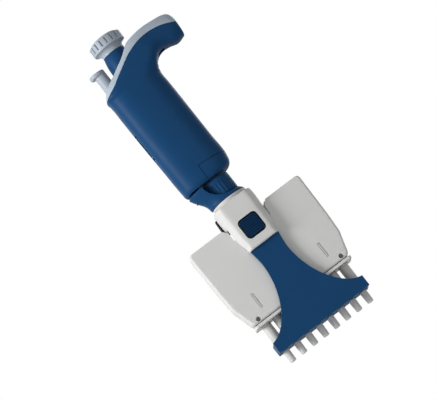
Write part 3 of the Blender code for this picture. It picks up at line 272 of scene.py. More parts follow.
class Finish(Enum):
    """The finishes of the pipette, each named for what it is."""

    GRIP_BLUE = Moulded("Blue polypropylene grip", "134069", "103b63", 0.46, 0.4, 0.05, 0.08)
    DARK_BLUE = Moulded("Dark blue release button", "0d2f50", "0b2a48", 0.4, 0.35, 0.04, 0.08)
    COVER_GREY = Moulded("Grey-blue top cover", "a9b5c1", "a3afbc", 0.42, 0.35, 0.04, 0.12)
    KNOB_GREY = Moulded("Grey knob plastic", "9fa8b2", "99a3ad", 0.42, 0.35, 0.04, 0.2)
    CAP_GREY = Moulded("Light grey knob cap", "abb3bb", "a4adb6", 0.42, 0.35, 0.04, 0.2)
    COLLAR_WHITE = Moulded("White collar plastic", "cccccb", "c8c8c7", 0.42, 0.35, 0.04, 0.15)
    HEAD_GREY = Moulded("Light grey head plastic", "cfcfce", "cacac9", 0.46, 0.5, 0.05, 0.12)
    LIP_GREY = Moulded("Grey nozzle plate plastic", "d2d2d1", "cbcbca", 0.4, 0.35, 0.04, 0.3)
    NOZZLE_GREY = Moulded("Nozzle plastic", "c9c9c8", "c2c2c1", 0.36, 0.35, 0.03, 0.3)
    # Black latch plastic, also used to paint the shade in the button's pocket.
    BLACK = Moulded("Black latch plastic", "121214", "0e0e10", 0.55, 0.35, 0.04, 0.06)
    FRAME_BLACK = Moulded("Glass-filled black frame", "26262a", "1f1f22", 0.55)
    DRUM_WHITE = Moulded("White counter drum", "f0f0ee", "e8e8e5", 0.5)
    GEAR_CREAM = Moulded("Cream acetal gear", "e0dccb", "d7d3c1", 0.45)
    INK = Moulded("Black printed figure", "111111", "151515", 0.6)
    STEEL = TurnedMetal("Ground stainless steel", "c2c3c6", 0.28)
    DARK_STEEL = TurnedMetal("Dark phosphated steel screw", "5c5d60", 0.5)
    BRASS = TurnedMetal("Turned brass", "c9a35a", 0.3)
    CLEAR = ClearPlastic("Clear acrylic window", "eef3f6")


_MADE: dict[Finish, bpy.types.Material] = {}


def finish_material(finish: Finish) -> bpy.types.Material:
    """Make a finish's material once and hand it out from then on.

    Args:
        finish: The finish.

    Returns:
        Its material.
    """
    if finish not in _MADE:
        _MADE[finish] = finish.value.make()
    return _MADE[finish]


def mesh_from_grid(name: str, grid: np.ndarray, caps: bool = True) -> bpy.types.Mesh:
    """Close a grid of points into a mesh.

    Row after row is joined by quads, each row being a closed ring, and with caps the
    first and last rings are filled.

    Args:
        name: The mesh's name.
        grid: Points as rows by columns by three, rings in rows.
        caps: Whether the end rings are filled.

    Returns:
        The welded mesh with its faces pointing out.
    """
    rows, columns, _ = grid.shape
    index = np.arange(rows * columns).reshape(rows, columns)
    after = np.roll(index, -1, axis=1)
    quads = np.stack([index[:-1], after[:-1], after[1:], index[1:]], axis=-1).reshape(-1, 4)
    faces = quads.tolist()
    if caps:
        faces.append(index[0, ::-1].tolist())
        faces.append(index[-1].tolist())
    mesh = bpy.data.meshes.new(name)
    mesh.from_pydata((grid.reshape(-1, 3) * MM).tolist(), [], faces)
    tidy = bmesh.new()
    tidy.from_mesh(mesh)
    bmesh.ops.remove_doubles(tidy, verts=tidy.verts, dist=0.000001)
    bmesh.ops.recalc_face_normals(tidy, faces=tidy.faces)
    ends = [face for face in tidy.faces if len(face.verts) > 4]
    bmesh.ops.triangulate(tidy, faces=ends, quad_method="BEAUTY", ngon_method="EAR_CLIP")
    tidy.to_mesh(mesh)
    tidy.free()
    return mesh


def place_piece(name: str, mesh: bpy.types.Mesh, finish: Finish, angle: float = 32.0) -> bpy.types.Object:
    """Put a mesh in the scene with its finish and smooth shading.

    Args:
        name: The object's name.
        mesh: The mesh, already in its place.
        finish: The finish.
        angle: Edges sharper than this, in degrees, stay sharp.

    Returns:
        The object.
    """
    piece = bpy.data.objects.new(name, mesh)
    bpy.context.scene.collection.objects.link(piece)
    mesh.materials.append(finish_material(finish))
    mesh.shade_smooth()
    mesh.set_sharp_from_angle(angle=math.radians(angle))
    even_shading(piece)
    return piece


def shape_piece(
    name: str, grid: np.ndarray, finish: Finish, caps: bool = True, angle: float = 32.0
) -> bpy.types.Object:
    """Close a grid of points into a mesh and put it in the scene.

    Args:
        name: The piece's name, and its mesh's.
        grid: Points as rows by columns by three.
        finish: The finish.
        caps: Whether the end rings are filled.
        angle: Edges sharper than this, in degrees, stay sharp.

    Returns:
        The object.
    """
    return place_piece(name, mesh_from_grid(name, grid, caps), finish, angle)


def even_shading(piece: bpy.types.Object) -> None:
    """Weigh a piece's normals by face area, so that flat faces stay flat next to rounded edges.

    Args:
        piece: The piece.
    """
    weigh = piece.modifiers.new("Even shading", "WEIGHTED_NORMAL")
    weigh.mode = "FACE_AREA"
    weigh.keep_sharp = True


def revolve(profile: Points, sides: int, centre: tuple[float, float] = (0.0, 0.0)) -> np.ndarray:
    """Turn a profile about a vertical line.

    Each point (radius, height) becomes the ring x = cx + r cos a, y = cy + r sin a, z = h.

    Args:
        profile: Radius and height pairs along the profile.
        sides: Points round each ring.
        centre: X and Y of the line.

    Returns:
        A grid of points.
    """
    line = np.asarray(profile, dtype=float)
    angle = np.arange(sides) * 2 * np.pi / sides
    x = centre[0] + line[:, :1] * np.cos(angle)
    y = centre[1] + line[:, :1] * np.sin(angle)
    z = np.repeat(line[:, 1:], sides, axis=1)
    return np.stack([x, y, z], axis=-1)


def round_bar(
    radius: float, low: float, high: float, sides: int, centre: tuple[float, float] = (0.0, 0.0)
) -> np.ndarray:
    """An upright round bar, as the two rings at its ends."""
    return revolve([(radius, low), (radius, high)], sides, centre)


def quadratic(start: np.ndarray, middle: np.ndarray, end: np.ndarray, steps: int) -> np.ndarray:
    """Draw (1 - t)^2 start + 2 t (1 - t) middle + t^2 end for each row, with t from 0 to 1.

    Args:
        start: Where each curve starts, one a row.
        middle: The corner that it is drawn towards.
        end: Where it ends.
        steps: Segments in each curve.

    Returns:
        Points as rows by steps + 1 by two.
    """
    share = np.linspace(0.0, 1.0, steps + 1)[None, :, None]
    ends = (1 - share) ** 2 * start[:, None] + share**2 * end[:, None]
    return ends + 2 * share * (1 - share) * middle[:, None]


def rounded_profile(points: Points, radius: float, steps: int = 4) -> list[tuple[float, float]]:
    """Round the corners of an open profile.

    Each inner corner is replaced by the quadratic curve between the points that lie
    radius away from it along its two edges, or less on a short edge.

    Args:
        points: The profile's corners.
        radius: How far from each corner the curve starts.
        steps: Segments in each curve.

    Returns:
        The rounded profile.
    """
    line = np.asarray(points, dtype=float)
    before = line[:-2] - line[1:-1]
    after = line[2:] - line[1:-1]
    back = np.linalg.norm(before, axis=1, keepdims=True)
    ahead = np.linalg.norm(after, axis=1, keepdims=True)
    reach = np.minimum(radius, 0.45 * np.minimum(back, ahead))
    start = line[1:-1] + before / back * reach
    end = line[1:-1] + after / ahead * reach
    curve = quadratic(start, line[1:-1], end, steps)
    joined = np.concatenate([line[:1], curve.reshape(-1, 2), line[-1:]])
    return [tuple(point) for point in joined]


def slab(
    outline: np.ndarray, low: float, high: float, edge: float, facing: Facing, steps: int = 5
) -> np.ndarray:
    """Give a closed flat outline a thickness with rounded edges.

    At the angle t from -90 to 90 degrees the ring is the outline moved inwards by
    edge (1 - cos t) and lies edge (1 - |sin t|) inside the face on that side.

    Args:
        outline: Two coordinates a point, anticlockwise, as (x, z), (y, z) or (x, y).
        low: The lower face's place along the thickness.
        high: The upper face's place.
        edge: The radius of the rounded edge.
        facing: The direction of the thickness.
        steps: Segments in each rounded edge.

    Returns:
        A grid of points.
    """
    flat = np.asarray(outline, dtype=float)
    ahead = np.roll(flat, -1, axis=0) - flat
    behind = flat - np.roll(flat, 1, axis=0)
    ahead /= np.linalg.norm(ahead, axis=1, keepdims=True)
    behind /= np.linalg.norm(behind, axis=1, keepdims=True)
    tangent = ahead + behind
    tangent /= np.linalg.norm(tangent, axis=1, keepdims=True)
    inward = np.stack([-tangent[:, 1], tangent[:, 0]], axis=1)
    turn = np.linspace(0.0, np.pi / 2, steps + 1)
    inset = np.concatenate([edge * (1 - np.sin(turn)), edge * (1 - np.cos(turn))])
    place = np.concatenate([low + edge * (1 - np.cos(turn)), high - edge * (1 - np.sin(turn))])
    rings = flat[None] + inward[None] * inset[:, None, None]
    depth = np.repeat(place[:, None], len(flat), axis=1)
    if facing is Facing.DEPTH:
        return np.stack([rings[..., 0], depth, rings[..., 1]], axis=-1)
    if facing is Facing.WIDTH:
        return np.stack([depth, rings[..., 0], rings[..., 1]], axis=-1)
    return np.stack([rings[..., 0], rings[..., 1], depth], axis=-1)


def sharp_slab(outline: np.ndarray, low: float, high: float, facing: Facing = Facing.DEPTH) -> np.ndarray:
    """Give a closed flat outline a thickness with sharp edges."""
    return slab(outline, low, high, 0.0, facing, 0)


def soft_outline(points: Points, radius: float, steps: int = 6) -> np.ndarray:
    """Round the corners of a closed outline.

    Every corner is replaced by the quadratic curve between the points that lie radius
    away from it along its two edges.

    Args:
        points: The outline's corners.
        radius: How far from each corner its curve starts.
        steps: Segments in each curve.

    Returns:
        The rounded outline's points.
    """
    line = np.asarray(points, dtype=float)
    before = np.roll(line, 1, axis=0) - line
    after = np.roll(line, -1, axis=0) - line
    back = np.linalg.norm(before, axis=1, keepdims=True)
    ahead = np.linalg.norm(after, axis=1, keepdims=True)
    reach = np.minimum(radius, 0.42 * np.minimum(back, ahead))
    start = line + before / back * reach
    end = line + after / ahead * reach
    return quadratic(start, line, end, steps).reshape(-1, 2)


def soft_box(low: Sequence[float], high: Sequence[float], corner: float) -> np.ndarray:
    """A rectangle between two opposite corners, with all its corners rounded."""
    return soft_outline([(low[0], low[1]), (high[0], low[1]), (high[0], high[1]), (low[0], high[1])], corner)


def block(low: Sequence[float], high: Sequence[float], corner: float, edge: float) -> np.ndarray:
    """A box with rounded upright corners and rounded upper and lower edges.

    Args:
        low: Its lowest corner.
        high: Its highest corner.
        corner: The radius of the upright corners.
        edge: The radius of the other edges.

    Returns:
        A grid of points.
    """
    return slab(soft_box(low, high, corner), low[2], high[2], edge, Facing.HEIGHT)


def cuts(*grids: np.ndarray) -> list[tuple[np.ndarray, Carving]]:
    """Pair each grid with the order to cut it away."""
    return [(grid, Carving.CUT) for grid in grids]


def carve(
    piece: bpy.types.Object, tools: Sequence[tuple[np.ndarray, Carving]], angle: float = 32.0
) -> bpy.types.Object:
    """Cut or join a piece with closed grids, one exact Boolean after another.

    Args:
        piece: The piece.
        tools: Grids with the Boolean's operation.
        angle: Edges sharper than this, in degrees, stay sharp.

    Returns:
        The piece with its new mesh.
    """
    cutters = []
    piece.modifiers.clear()
    for number, (grid, operation) in enumerate(tools):
        tool = bpy.data.objects.new(f"{piece.name} tool {number}", mesh_from_grid("tool", grid))
        bpy.context.scene.collection.objects.link(tool)
        cutters.append(tool)
        change = piece.modifiers.new("Carve", "BOOLEAN")
        change.operation = operation.value
        change.solver = "EXACT"
        change.object = tool
    graph = bpy.context.evaluated_depsgraph_get()
    graph.update()
    mesh = bpy.data.meshes.new_from_object(piece.evaluated_get(graph))
    finishes = [slot.material for slot in piece.material_slots]
    piece.modifiers.clear()
    piece.data = mesh
    mesh.materials.clear()
    for material in finishes:
        mesh.materials.append(material)
    mesh.polygons.foreach_set("material_index", np.zeros(len(mesh.polygons), dtype=np.int32))
    for tool in cutters:
        bpy.data.objects.remove(tool, do_unlink=True)
    mesh.shade_smooth()
    mesh.set_sharp_from_angle(angle=math.radians(angle))
    even_shading(piece)
    return piece


def settle(piece: bpy.types.Object, body: str, slot: str, *nodes: str) -> bpy.types.Object:
    """Let a piece ride on a body and stand for its CAD nodes.

    Args:
        piece: The piece.
        body: The body that it moves with.
        slot: Its material slot; not used.
        nodes: The CAD nodes that it replaces.

    Returns:
        The piece.
    """
    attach(piece, body)
    if nodes:
        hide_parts(*nodes)
    LOG.info("%s rides on %s and stands for %s", piece.name, body, ", ".join(nodes) or "no node")
    return piece


def polish(node: str, finish: Finish, angle: float = 35.0) -> bpy.types.Object:
    """Show a CAD node through a welded, smooth-shaded copy of its mesh.

    Args:
        node: The node's name.
        finish: Its finish.
        angle: Edges sharper than this, in degrees, stay sharp.

    Returns:
        The new piece.
    """
    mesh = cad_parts[node].data.copy()
    mesh.name = f"{node} fine"
    tidy = bmesh.new()
    tidy.from_mesh(mesh)
    bmesh.ops.remove_doubles(tidy, verts=tidy.verts, dist=0.000002)
    tidy.to_mesh(mesh)
    tidy.free()
    mesh.materials.clear()
    return place_piece(f"{node}_fine", mesh, finish, angle)


def through(points: np.ndarray, steps: int) -> np.ndarray:
    """Draw a smooth line through points of any number of coordinates.

    Each span is a cubic whose end slopes are those of the parabola through the point and
    its two neighbours, measured along the chords.

    Args:
        points: One point a row.
        steps: Segments in each span.

    Returns:
        The points of the line.
    """
    line = np.asarray(points, dtype=float)
    gap = np.linalg.norm(np.diff(line, axis=0), axis=1)[:, None]
    slope = np.diff(line, axis=0) / gap
    inner = (slope[:-1] * gap[1:] + slope[1:] * gap[:-1]) / (gap[:-1] + gap[1:])
    tangent = np.concatenate([slope[:1], inner, slope[-1:]])
    share = (np.arange(steps) / steps)[None, :, None]
    start = (tangent[:-1] * gap)[:, None]
    end = (tangent[1:] * gap)[:, None]
    curve = line[:-1, None] * (2 * share**3 - 3 * share**2 + 1) + start * (share**3 - 2 * share**2 + share)
    curve = curve + line[1:, None] * (3 * share**2 - 2 * share**3) + end * (share**3 - share**2)
    return np.concatenate([curve.reshape(-1, line.shape[1]), line[-1:]])


def loft(stations: np.ndarray, columns: int, power: float) -> np.ndarray:
    """Carry a superellipse along stations.

    A station is (inner x, inner z, outer x, outer z, half depth), and may end with a power
    of its own. At the angle a its ring is the middle of the two edges plus half their
    distance times |cos a|^(2/power), and the half depth times |sin a|^(2/power) along Y,
    each with its sign.

    Args:
        stations: The stations, one a row.
        columns: Points round each ring.
        power: The superellipse's power.

    Returns:
        A grid of points.
    """
    rows = np.asarray(stations, dtype=float)
    angle = 2 * np.pi * (np.arange(columns) + 0.5) / columns
    bend = 2 / (rows[:, 5:6] if rows.shape[1] > 5 else np.full((len(rows), 1), power))
    across = np.sign(np.cos(angle)) * np.abs(np.cos(angle)) ** bend
    along = np.sign(np.sin(angle)) * np.abs(np.sin(angle)) ** bend
    middle = (rows[:, :2] + rows[:, 2:4]) / 2
    half = (rows[:, :2] - rows[:, 2:4]) / 2
    x = middle[:, :1] + half[:, :1] * across
    z = middle[:, 1:2] + half[:, 1:2] * across
    y = rows[:, 4:5] * along
    return np.stack([x, y, z], axis=-1)


def row_places(count: int, pitch: float) -> np.ndarray:
    """The X of each place in a row that is centred on the middle plane."""
    return np.arange(count) * pitch - pitch * (count - 1) / 2


def mirrored(right: list[tuple[float, float]]) -> list[tuple[float, float]]:
    """A right-hand line of (x, z) corners, followed by its mirror image from the top down."""
    return right + [(-x, z) for x, z in reversed(right)]


def along_rib(sides: int, ribs: int, radius: float) -> np.ndarray:
    """The way along a ribbed rim from the nearest groove, for each of the points round it.

    Args:
        sides: Points round the rim.
        ribs: Grooves round the rim.
        radius: The rim's radius.

    Returns:
        The ways in millimetres, with a sign.
    """
    angle = np.arange(sides) * 2 * np.pi / sides
    place = (angle * ribs / (2 * np.pi)) % 1.0 - 0.5
    return place * 2 * np.pi / ribs * radius


def rounded_bar(radius: float, low: float, high: float) -> np.ndarray:
    """An upright round bar with softly rounded ends."""
    ends = rounded_profile([(0.0, low), (radius, low), (radius, high), (0.0, high)], 0.4)
    return revolve(ends, 48)


def helix(
    radius: float, wire: float, low: float, high: float, turns: int, centre_x: float = 0.0
) -> np.ndarray:
    """Wind a round wire into a compression spring.

    The centre line is (R cos a, R sin a) rising evenly from low to high, and round it the
    wire's ring is r cos b along the radius and r sin b across radius and tangent.

    Args:
        radius: The coil's middle radius.
        wire: The wire's radius.
        low: The lowest point of the spring.
        high: The highest point.
        turns: How often it goes round.
        centre_x: X of the coil's axis.

    Returns:
        A grid of points.
    """
    angle = np.linspace(0.0, 2 * np.pi * turns, 40 * turns + 1)
    height = np.linspace(low + wire, high - wire, len(angle))
    radial = np.stack([np.cos(angle), np.sin(angle), np.zeros_like(angle)], axis=1)
    line = radial * radius
    line[:, 0] += centre_x
    line[:, 2] = height
    tangent = np.gradient(line, axis=0)
    tangent /= np.linalg.norm(tangent, axis=1, keepdims=True)
    side = np.cross(tangent, radial)
    turn = np.arange(12) * 2 * np.pi / 12
    ring = radial[:, None] * np.cos(turn)[None, :, None] + side[:, None] * np.sin(turn)[None, :, None]
    return line[:, None] + wire * ring


def tube(profile: Points, sides: int, centre: tuple[float, float] = (0.0, 0.0)) -> np.ndarray:
    """Turn a closed profile about a vertical line into a ring-shaped solid.

    Every column is one turn position and holds the whole closed profile, so the grid's
    rows run round the profile and its columns round the line.

    Args:
        profile: Radius and height pairs, the last joined to the first.
        sides: Points round the line.
        centre: X and Y of the line.

    Returns:
        A grid whose first row is repeated at the end.
    """
    grid = revolve(profile, sides, centre)
    return np.concatenate([grid, grid[:1]])


@dataclass
class Studio:
    """The camera at the photograph's angle, soft lamps, a pale floor and white surroundings."""

    yaw: float = 6.5
    pitch: float = 8.92
    roll: float = 38.17
    distance: float = 2.128
    focal_mm: float = 270.3
    sensor_mm: float = 36.0
    clip_end: float = 20.0
    aim_z: float = 0.120
    image_width: int = 436
    offset_px: tuple[float, float] = (-0.9, -13.0)
    floor_z: float = -0.32
    floor_half: float = 3.0
    floor_lines: int = 9
    floor_lift: float = 0.45
    ambient: float = 0.35
    lamps: tuple[tuple[str, tuple[float, float, float], float, float], ...] = (
        ("Key lamp", (-0.75, -0.33, 0.34), 0.3, 7.4),
        ("Front lamp", (0.5, -1.6, 0.5), 0.9, 2.4),
        ("Rear lamp", (1.0, 1.4, 0.5), 0.8, 4.0),
    )

    def camera(self) -> None:
        """Stand the camera a little below the pipette, rolled so that the knob points up and left."""
        yaw, pitch, roll = (math.radians(angle) for angle in (self.yaw, self.pitch, self.roll))
        back = Vector((-math.sin(yaw) * math.cos(pitch), -math.cos(yaw) * math.cos(pitch), -math.sin(pitch)))
        level = (-back).cross(Vector((0.0, 0.0, 1.0))).normalized()
        upright = level.cross(-back).normalized()
        right = level * math.cos(roll) - upright * math.sin(roll)
        up = level * math.sin(roll) + upright * math.cos(roll)
        lens = bpy.data.cameras.new("Camera")
        lens.lens = self.focal_mm
        lens.sensor_width = self.sensor_mm
        lens.sensor_fit = "HORIZONTAL"
        lens.shift_x = self.offset_px[0] / self.image_width
        lens.shift_y = self.offset_px[1] / self.image_width
        lens.clip_end = self.clip_end
        holder = bpy.data.objects.new("Camera", lens)
        place = Vector((0.0, 0.0, self.aim_z)) + back * self.distance
        holder.matrix_world = Matrix.Translation(place) @ Matrix((right, up, back)).transposed().to_4x4()
        bpy.context.scene.collection.objects.link(holder)
        bpy.context.scene.camera = holder

    def lamp(self, name: str, place: tuple[float, float, float], size: float, power: float) -> None:
        """Hang a square soft lamp that faces the pipette.

        Args:
            name: The lamp's name.
            place: Where it hangs, in metres.
            size: Its side in metres.
            power: Its power in watts.
        """
        lamp = bpy.data.lights.new(name, "AREA")
        lamp.size = size
        lamp.energy = power
        holder = bpy.data.objects.new(name, lamp)
        holder.location = place
        aim = Vector((0.0, 0.0, self.aim_z)) - Vector(place)
        holder.rotation_euler = aim.to_track_quat("-Z", "Y").to_euler()
        bpy.context.scene.collection.objects.link(holder)

    def surroundings(self) -> None:
        """White for the eye, for gloss and for clear plastic, and a grey of plain strength as light."""
        world = bpy.data.worlds.new("White surroundings")
        bpy.context.scene.world = world
        world.use_nodes = True
        tree = world.node_tree
        path = add_node(tree, "ShaderNodeLightPath")
        seen = add_node(tree, "ShaderNodeMath", {".operation": "ADD"})
        tree.links.new(path.outputs["Is Camera Ray"], seen.inputs[0])
        tree.links.new(path.outputs["Is Transmission Ray"], seen.inputs[1])
        shown = add_node(tree, "ShaderNodeMath", {".operation": "ADD", ".use_clamp": True})
        tree.links.new(seen.outputs["Value"], shown.inputs[0])
        tree.links.new(path.outputs["Is Glossy Ray"], shown.inputs[1])
        level = add_node(
            tree,
            "ShaderNodeMapRange",
            {"To Min": self.ambient, "To Max": 1.0},
            {"Value": shown.outputs["Value"]},
        )
        sky = tree.nodes["Background"]
        sky.inputs["Color"].default_value = (1.0, 1.0, 1.0, 1.0)
        tree.links.new(level.outputs["Result"], sky.inputs["Strength"])

    def floor(self) -> None:
        """Lay a pale matt floor below the pipette, lifted towards white for the eye alone."""
        span = np.linspace(-self.floor_half, self.floor_half, self.floor_lines)
        x, y = np.meshgrid(span, span, indexing="xy")
        points = np.stack([x, y, np.full_like(x, self.floor_z)], axis=-1).reshape(-1, 3)
        index = np.arange(x.size).reshape(x.shape)
        corners = [index[:-1, :-1], index[:-1, 1:], index[1:, 1:], index[1:, :-1]]
        faces = np.stack(corners, axis=-1).reshape(-1, 4)
        mesh = bpy.data.meshes.new("Floor")
        mesh.from_pydata(points.tolist(), [], faces.tolist())
        ground = bpy.data.objects.new("Floor", mesh)
        bpy.context.scene.collection.objects.link(ground)
        material, tree, shader = new_material("Pale matt floor")
        shader.inputs["Roughness"].default_value = 0.9
        place = add_node(tree, "ShaderNodeTexCoord").outputs["Object"]
        speck = add_node(tree, "ShaderNodeTexNoise", {"Scale": 60.0, "Detail": 3.0}, {"Vector": place})
        tint = add_node(
            tree,
            "ShaderNodeMix",
            {".data_type": "RGBA", "A": linear("f1f1f0"), "B": linear("eeeeed")},
            {"Factor": speck.outputs["Fac"]},
        )
        tree.links.new(tint.outputs["Result"], shader.inputs["Base Color"])
        path = add_node(tree, "ShaderNodeLightPath")
        lift = add_node(
            tree,
            "ShaderNodeMapRange",
            {"To Min": 0.0, "To Max": self.floor_lift},
            {"Value": path.outputs["Is Camera Ray"]},
        )
        shader.inputs["Emission Color"].default_value = (1.0, 1.0, 1.0, 1.0)
        tree.links.new(lift.outputs["Result"], shader.inputs["Emission Strength"])
        mesh.materials.append(material)

    def build(self) -> None:
        """Set the whole studio."""
        self.camera()
        for name, place, size, power in self.lamps:
            self.lamp(name, place, size, power)
        self.surroundings()
        self.floor()
        bpy.context.scene.view_settings.view_transform = "Standard"
        LOG.info("studio is set")


@dataclass
class Handle:
    """The grip with its finger hook: shell, top cover, calibration cover and window."""

    bottom: float = 126.1
    grip_height: float = 77.0
    deck_rise: float = 3.0
    left: float = 23.6
    right: float = 17.1
    half_depth: float = 14.5
    wall: float = 2.2
    floor: float = 2.1
    gap: float = 0.3
    power: float = 2.7
    full_power: float = 4.6
    full_row: float = 14.0
    full_span: float = 4.0
    columns: int = 112
    sleeve_way: float = 10.0
    knob_way: float = 12.5
    knob_low: float = 217.9
    stem_x: float = -16.4
    stem_way: float = 4.5
    cap_way: float = 6.15
    cap_x: float = -17.85
    cap_low: float = 218.3
    lid_left: float = -3.7
    lid_top: float = 137.5
    window: tuple[float, float, float] = (4.5, 158.3, 179.7)
    window_corner: float = 1.2
    window_sunk: float = 0.8
    lid_step: float = 1.5
    deck_cut: float = 1.0
    neck_way: float = 8.5
    foot_reach: float = 5.0
    post_way: tuple[float, float, float] = (-18.8, -12.8, 3.0)
    hanger_slot: tuple[float, float, float, float] = (22.0, 28.0, 4.0, 13.5)
    cover_room: float = 50.0
    grip_rows: tuple[tuple[float, float, float, float], ...] = (
        (0.0, 0.881, 0.614, 0.862),
        (0.6, 0.903, 0.749, 0.903),
        (2.0, 0.924, 0.877, 0.952),
        (4.0, 0.928, 0.947, 0.972),
        (7.5, 0.936, 0.994, 0.986),
        (23.9, 0.953, 0.994, 1.0),
        (46.2, 0.979, 0.988, 1.0),
        (69.3, 0.993, 0.977, 1.0),
        (77.0, 0.994, 0.965, 1.0),
    )
    hook_rows: tuple[tuple[float, float, float, float, float], ...] = (
        (16.9, 1.6, -23.8, 3.3, 1.0),
        (16.9, 2.4, -24.1, 4.6, 1.0),
        (17.8, 4.4, -21.4, 9.6, 1.0),
        (18.4, 6.0, -15.5, 13.8, 1.0),
        (19.2, 7.2, -9.9, 16.5, 1.0),
        (20.0, 8.3, -5.0, 20.0, 0.995),
        (21.0, 9.2, -0.1, 23.4, 0.986),
        (22.2, 10.2, 4.8, 26.5, 0.97),
        (23.6, 10.9, 9.7, 29.1, 0.952),
        (25.5, 11.5, 16.0, 30.8, 0.91),
        (27.6, 11.7, 22.0, 31.7, 0.862),
        (32.9, 11.0, 32.9, 31.4, 0.793),
        (38.1, 9.6, 39.5, 30.6, 0.724),
        (40.2, 9.9, 41.6, 29.9, 0.69),
        (42.4, 10.6, 43.6, 28.2, 0.62),
        (44.0, 11.1, 44.7, 25.6, 0.52),
    )
    parting: tuple[tuple[float, float], ...] = (
        (-30.0, 3.0),
        (-21.1, 6.2),
        (-14.6, 9.0),
        (-8.1, 12.9),
        (-1.5, 16.7),
        (5.0, 20.3),
        (11.5, 22.8),
        (18.1, 24.5),
        (24.6, 25.0),
        (31.2, 24.4),
        (37.8, 22.7),
        (41.8, 21.1),
        (49.7, 19.0),
    )

    @property
    def shoulder(self) -> float:
        """The height where the grip ends and the hook begins."""
        return self.bottom + self.grip_height

    def stations(self, wall: float, hollow: bool) -> np.ndarray:
        """List the handle's stations, from the grip's foot to the tip of the hook.

        Args:
            wall: How far inside the outer skin they lie.
            hollow: Whether they stop at the floor and at the deck.

        Returns:
            One station a row.
        """
        rise, left, right, depth = np.array(self.grip_rows).T
        z = self.bottom + rise
        grip = np.stack(
            [
                self.right * right - wall,
                z,
                wall - self.left * left,
                z,
                self.half_depth * depth - wall,
            ],
            axis=1,
        )
        if hollow:
            floor = grip[2].copy()
            floor[[1, 3]] = self.bottom + self.floor
            roof = grip[-1].copy()
            roof[[1, 3]] = self.shoulder + self.deck_rise
            rows = np.concatenate([floor[None], grip[3:], roof[None]])
            return np.column_stack([rows, np.full(len(rows), self.power)])
        hook = np.array(self.hook_rows)
        hook[:, [1, 3]] += self.shoulder
        hook[:, 4] *= self.half_depth
        rows = np.concatenate([grip, hook])
        way = np.arange(len(rows), dtype=float)
        fullness = np.exp(-(((way - self.full_row) / self.full_span) ** 2))
        return np.column_stack([rows, self.power + (self.full_power - self.power) * fullness])

    def skin(self, inset: float) -> np.ndarray:
        """The whole handle's outer skin, moved inwards by inset."""
        return loft(through(self.stations(inset, False), 7), self.columns, self.power)

    def hollow(self) -> np.ndarray:
        """The room inside the grip."""
        return loft(through(self.stations(self.wall, True), 5), 80, self.power)

    def prism(self, outline: np.ndarray) -> np.ndarray:
        """Extrude an (x, z) outline right through the handle."""
        reach = self.half_depth + BEYOND
        return sharp_slab(outline, -reach, reach)

    def above_parting(self, lift: float) -> np.ndarray:
        """The room above the line where the top cover meets the shell, moved up by lift.

        Args:
            lift: How far it is moved up.

        Returns:
            A grid of points.
        """
        line = through(np.array(self.parting), 6) + [0.0, self.shoulder + lift]
        top = self.shoulder + self.cover_room
        return self.prism(np.concatenate([line, [[line[-1, 0], top], [line[0, 0], top]]]))

    def lid_room(self, inset: float) -> np.ndarray:
        """The room of the calibration cover, moved inwards by inset at its left and its top.

        Args:
            inset: How far it is moved inwards.

        Returns:
            A grid of points.
        """
        low = self.bottom - self.foot_reach
        left = self.lid_left + inset
        top = self.lid_top - inset
        edge = self.right + BEYOND
        step = top - self.lid_step
        outline = [(edge, low), (edge, step), (self.right, step), (left, top), (left, low)]
        return self.prism(soft_outline(outline, 0.8, 4))

    def window_room(self, inset: float) -> np.ndarray:
        """The room of the counter's window, with rounded corners, made smaller by inset.

        Args:
            inset: How far its edges are moved inwards.

        Returns:
            A grid of points.
        """
        half, low, high = self.window
        outline = soft_box((inset - half, low + inset), (half - inset, high - inset), self.window_corner)
        return sharp_slab(outline, -self.left - BEYOND, -self.left + self.wall + 3.0, Facing.WIDTH)

    def wells(self) -> list[np.ndarray]:
        """The wells and holes for sleeve, knob and ejector, from the deck upwards.

        Returns:
            One grid for each.
        """
        deck = self.shoulder + self.deck_rise - self.deck_cut
        top = self.shoulder + self.cover_room
        return [
            round_bar(self.sleeve_way, deck, top, 96),
            round_bar(self.knob_way, self.knob_low, top, 96),
            round_bar(self.stem_way, deck, top, 64, (self.stem_x, 0.0)),
            round_bar(self.cap_way, self.cap_low, top, 64, (self.cap_x, 0.0)),
        ]

    def foot_ways(self) -> list[np.ndarray]:
        """The hole for the neck, and beside it the one for the ejector arm's post.

        Returns:
            Their two grids.
        """
        low = self.bottom - self.foot_reach
        left, right, half = self.post_way
        return [
            round_bar(self.neck_way, low, self.bottom + self.foot_reach, 80),
            block((left, -half, low), (right, half, self.bottom + 4.0), 0.4, 0.1),
        ]

    def hanger(self) -> np.ndarray:
        """The slot that a stand's hook goes into.

        Returns:
            A grid of points.
        """
        left, right, half, rise = self.hanger_slot
        top = self.shoulder + rise
        return block((left, -half, top - rise), (right, half, top), 1.2, 0.3)

    def build(self) -> None:
        """Build and dress the handle's pieces."""
        neck, post = self.foot_ways()
        shell = shape_piece("grip_shell", self.skin(0.0), Finish.GRIP_BLUE)
        inside = cuts(self.above_parting(-self.gap / 2), self.hollow(), neck, *self.wells())
        carve(shell, inside + cuts(post, self.window_room(0.0), self.lid_room(0.0), self.hanger()))
        settle(shell, "handle", "blue", "handle_shell")

        cover = shape_piece("top_strip", self.skin(0.0), Finish.COVER_GREY)
        carve(cover, [(self.above_parting(self.gap / 2), Carving.KEEP)] + cuts(*self.wells()))
        settle(cover, "handle", "cover", "top_cover")

        lid = shape_piece("calibration_lid", self.skin(0.0), Finish.GRIP_BLUE)
        carve(lid, [(self.lid_room(self.gap), Carving.KEEP)] + cuts(self.hollow(), neck))
        settle(lid, "handle", "blue", "calibration_cover")

        pane = shape_piece("counter_window", self.skin(self.window_sunk), Finish.CLEAR)
        carve(pane, [(self.window_room(self.gap), Carving.KEEP)] + cuts(self.hollow()))
        settle(pane, "handle", "window", "display_window")


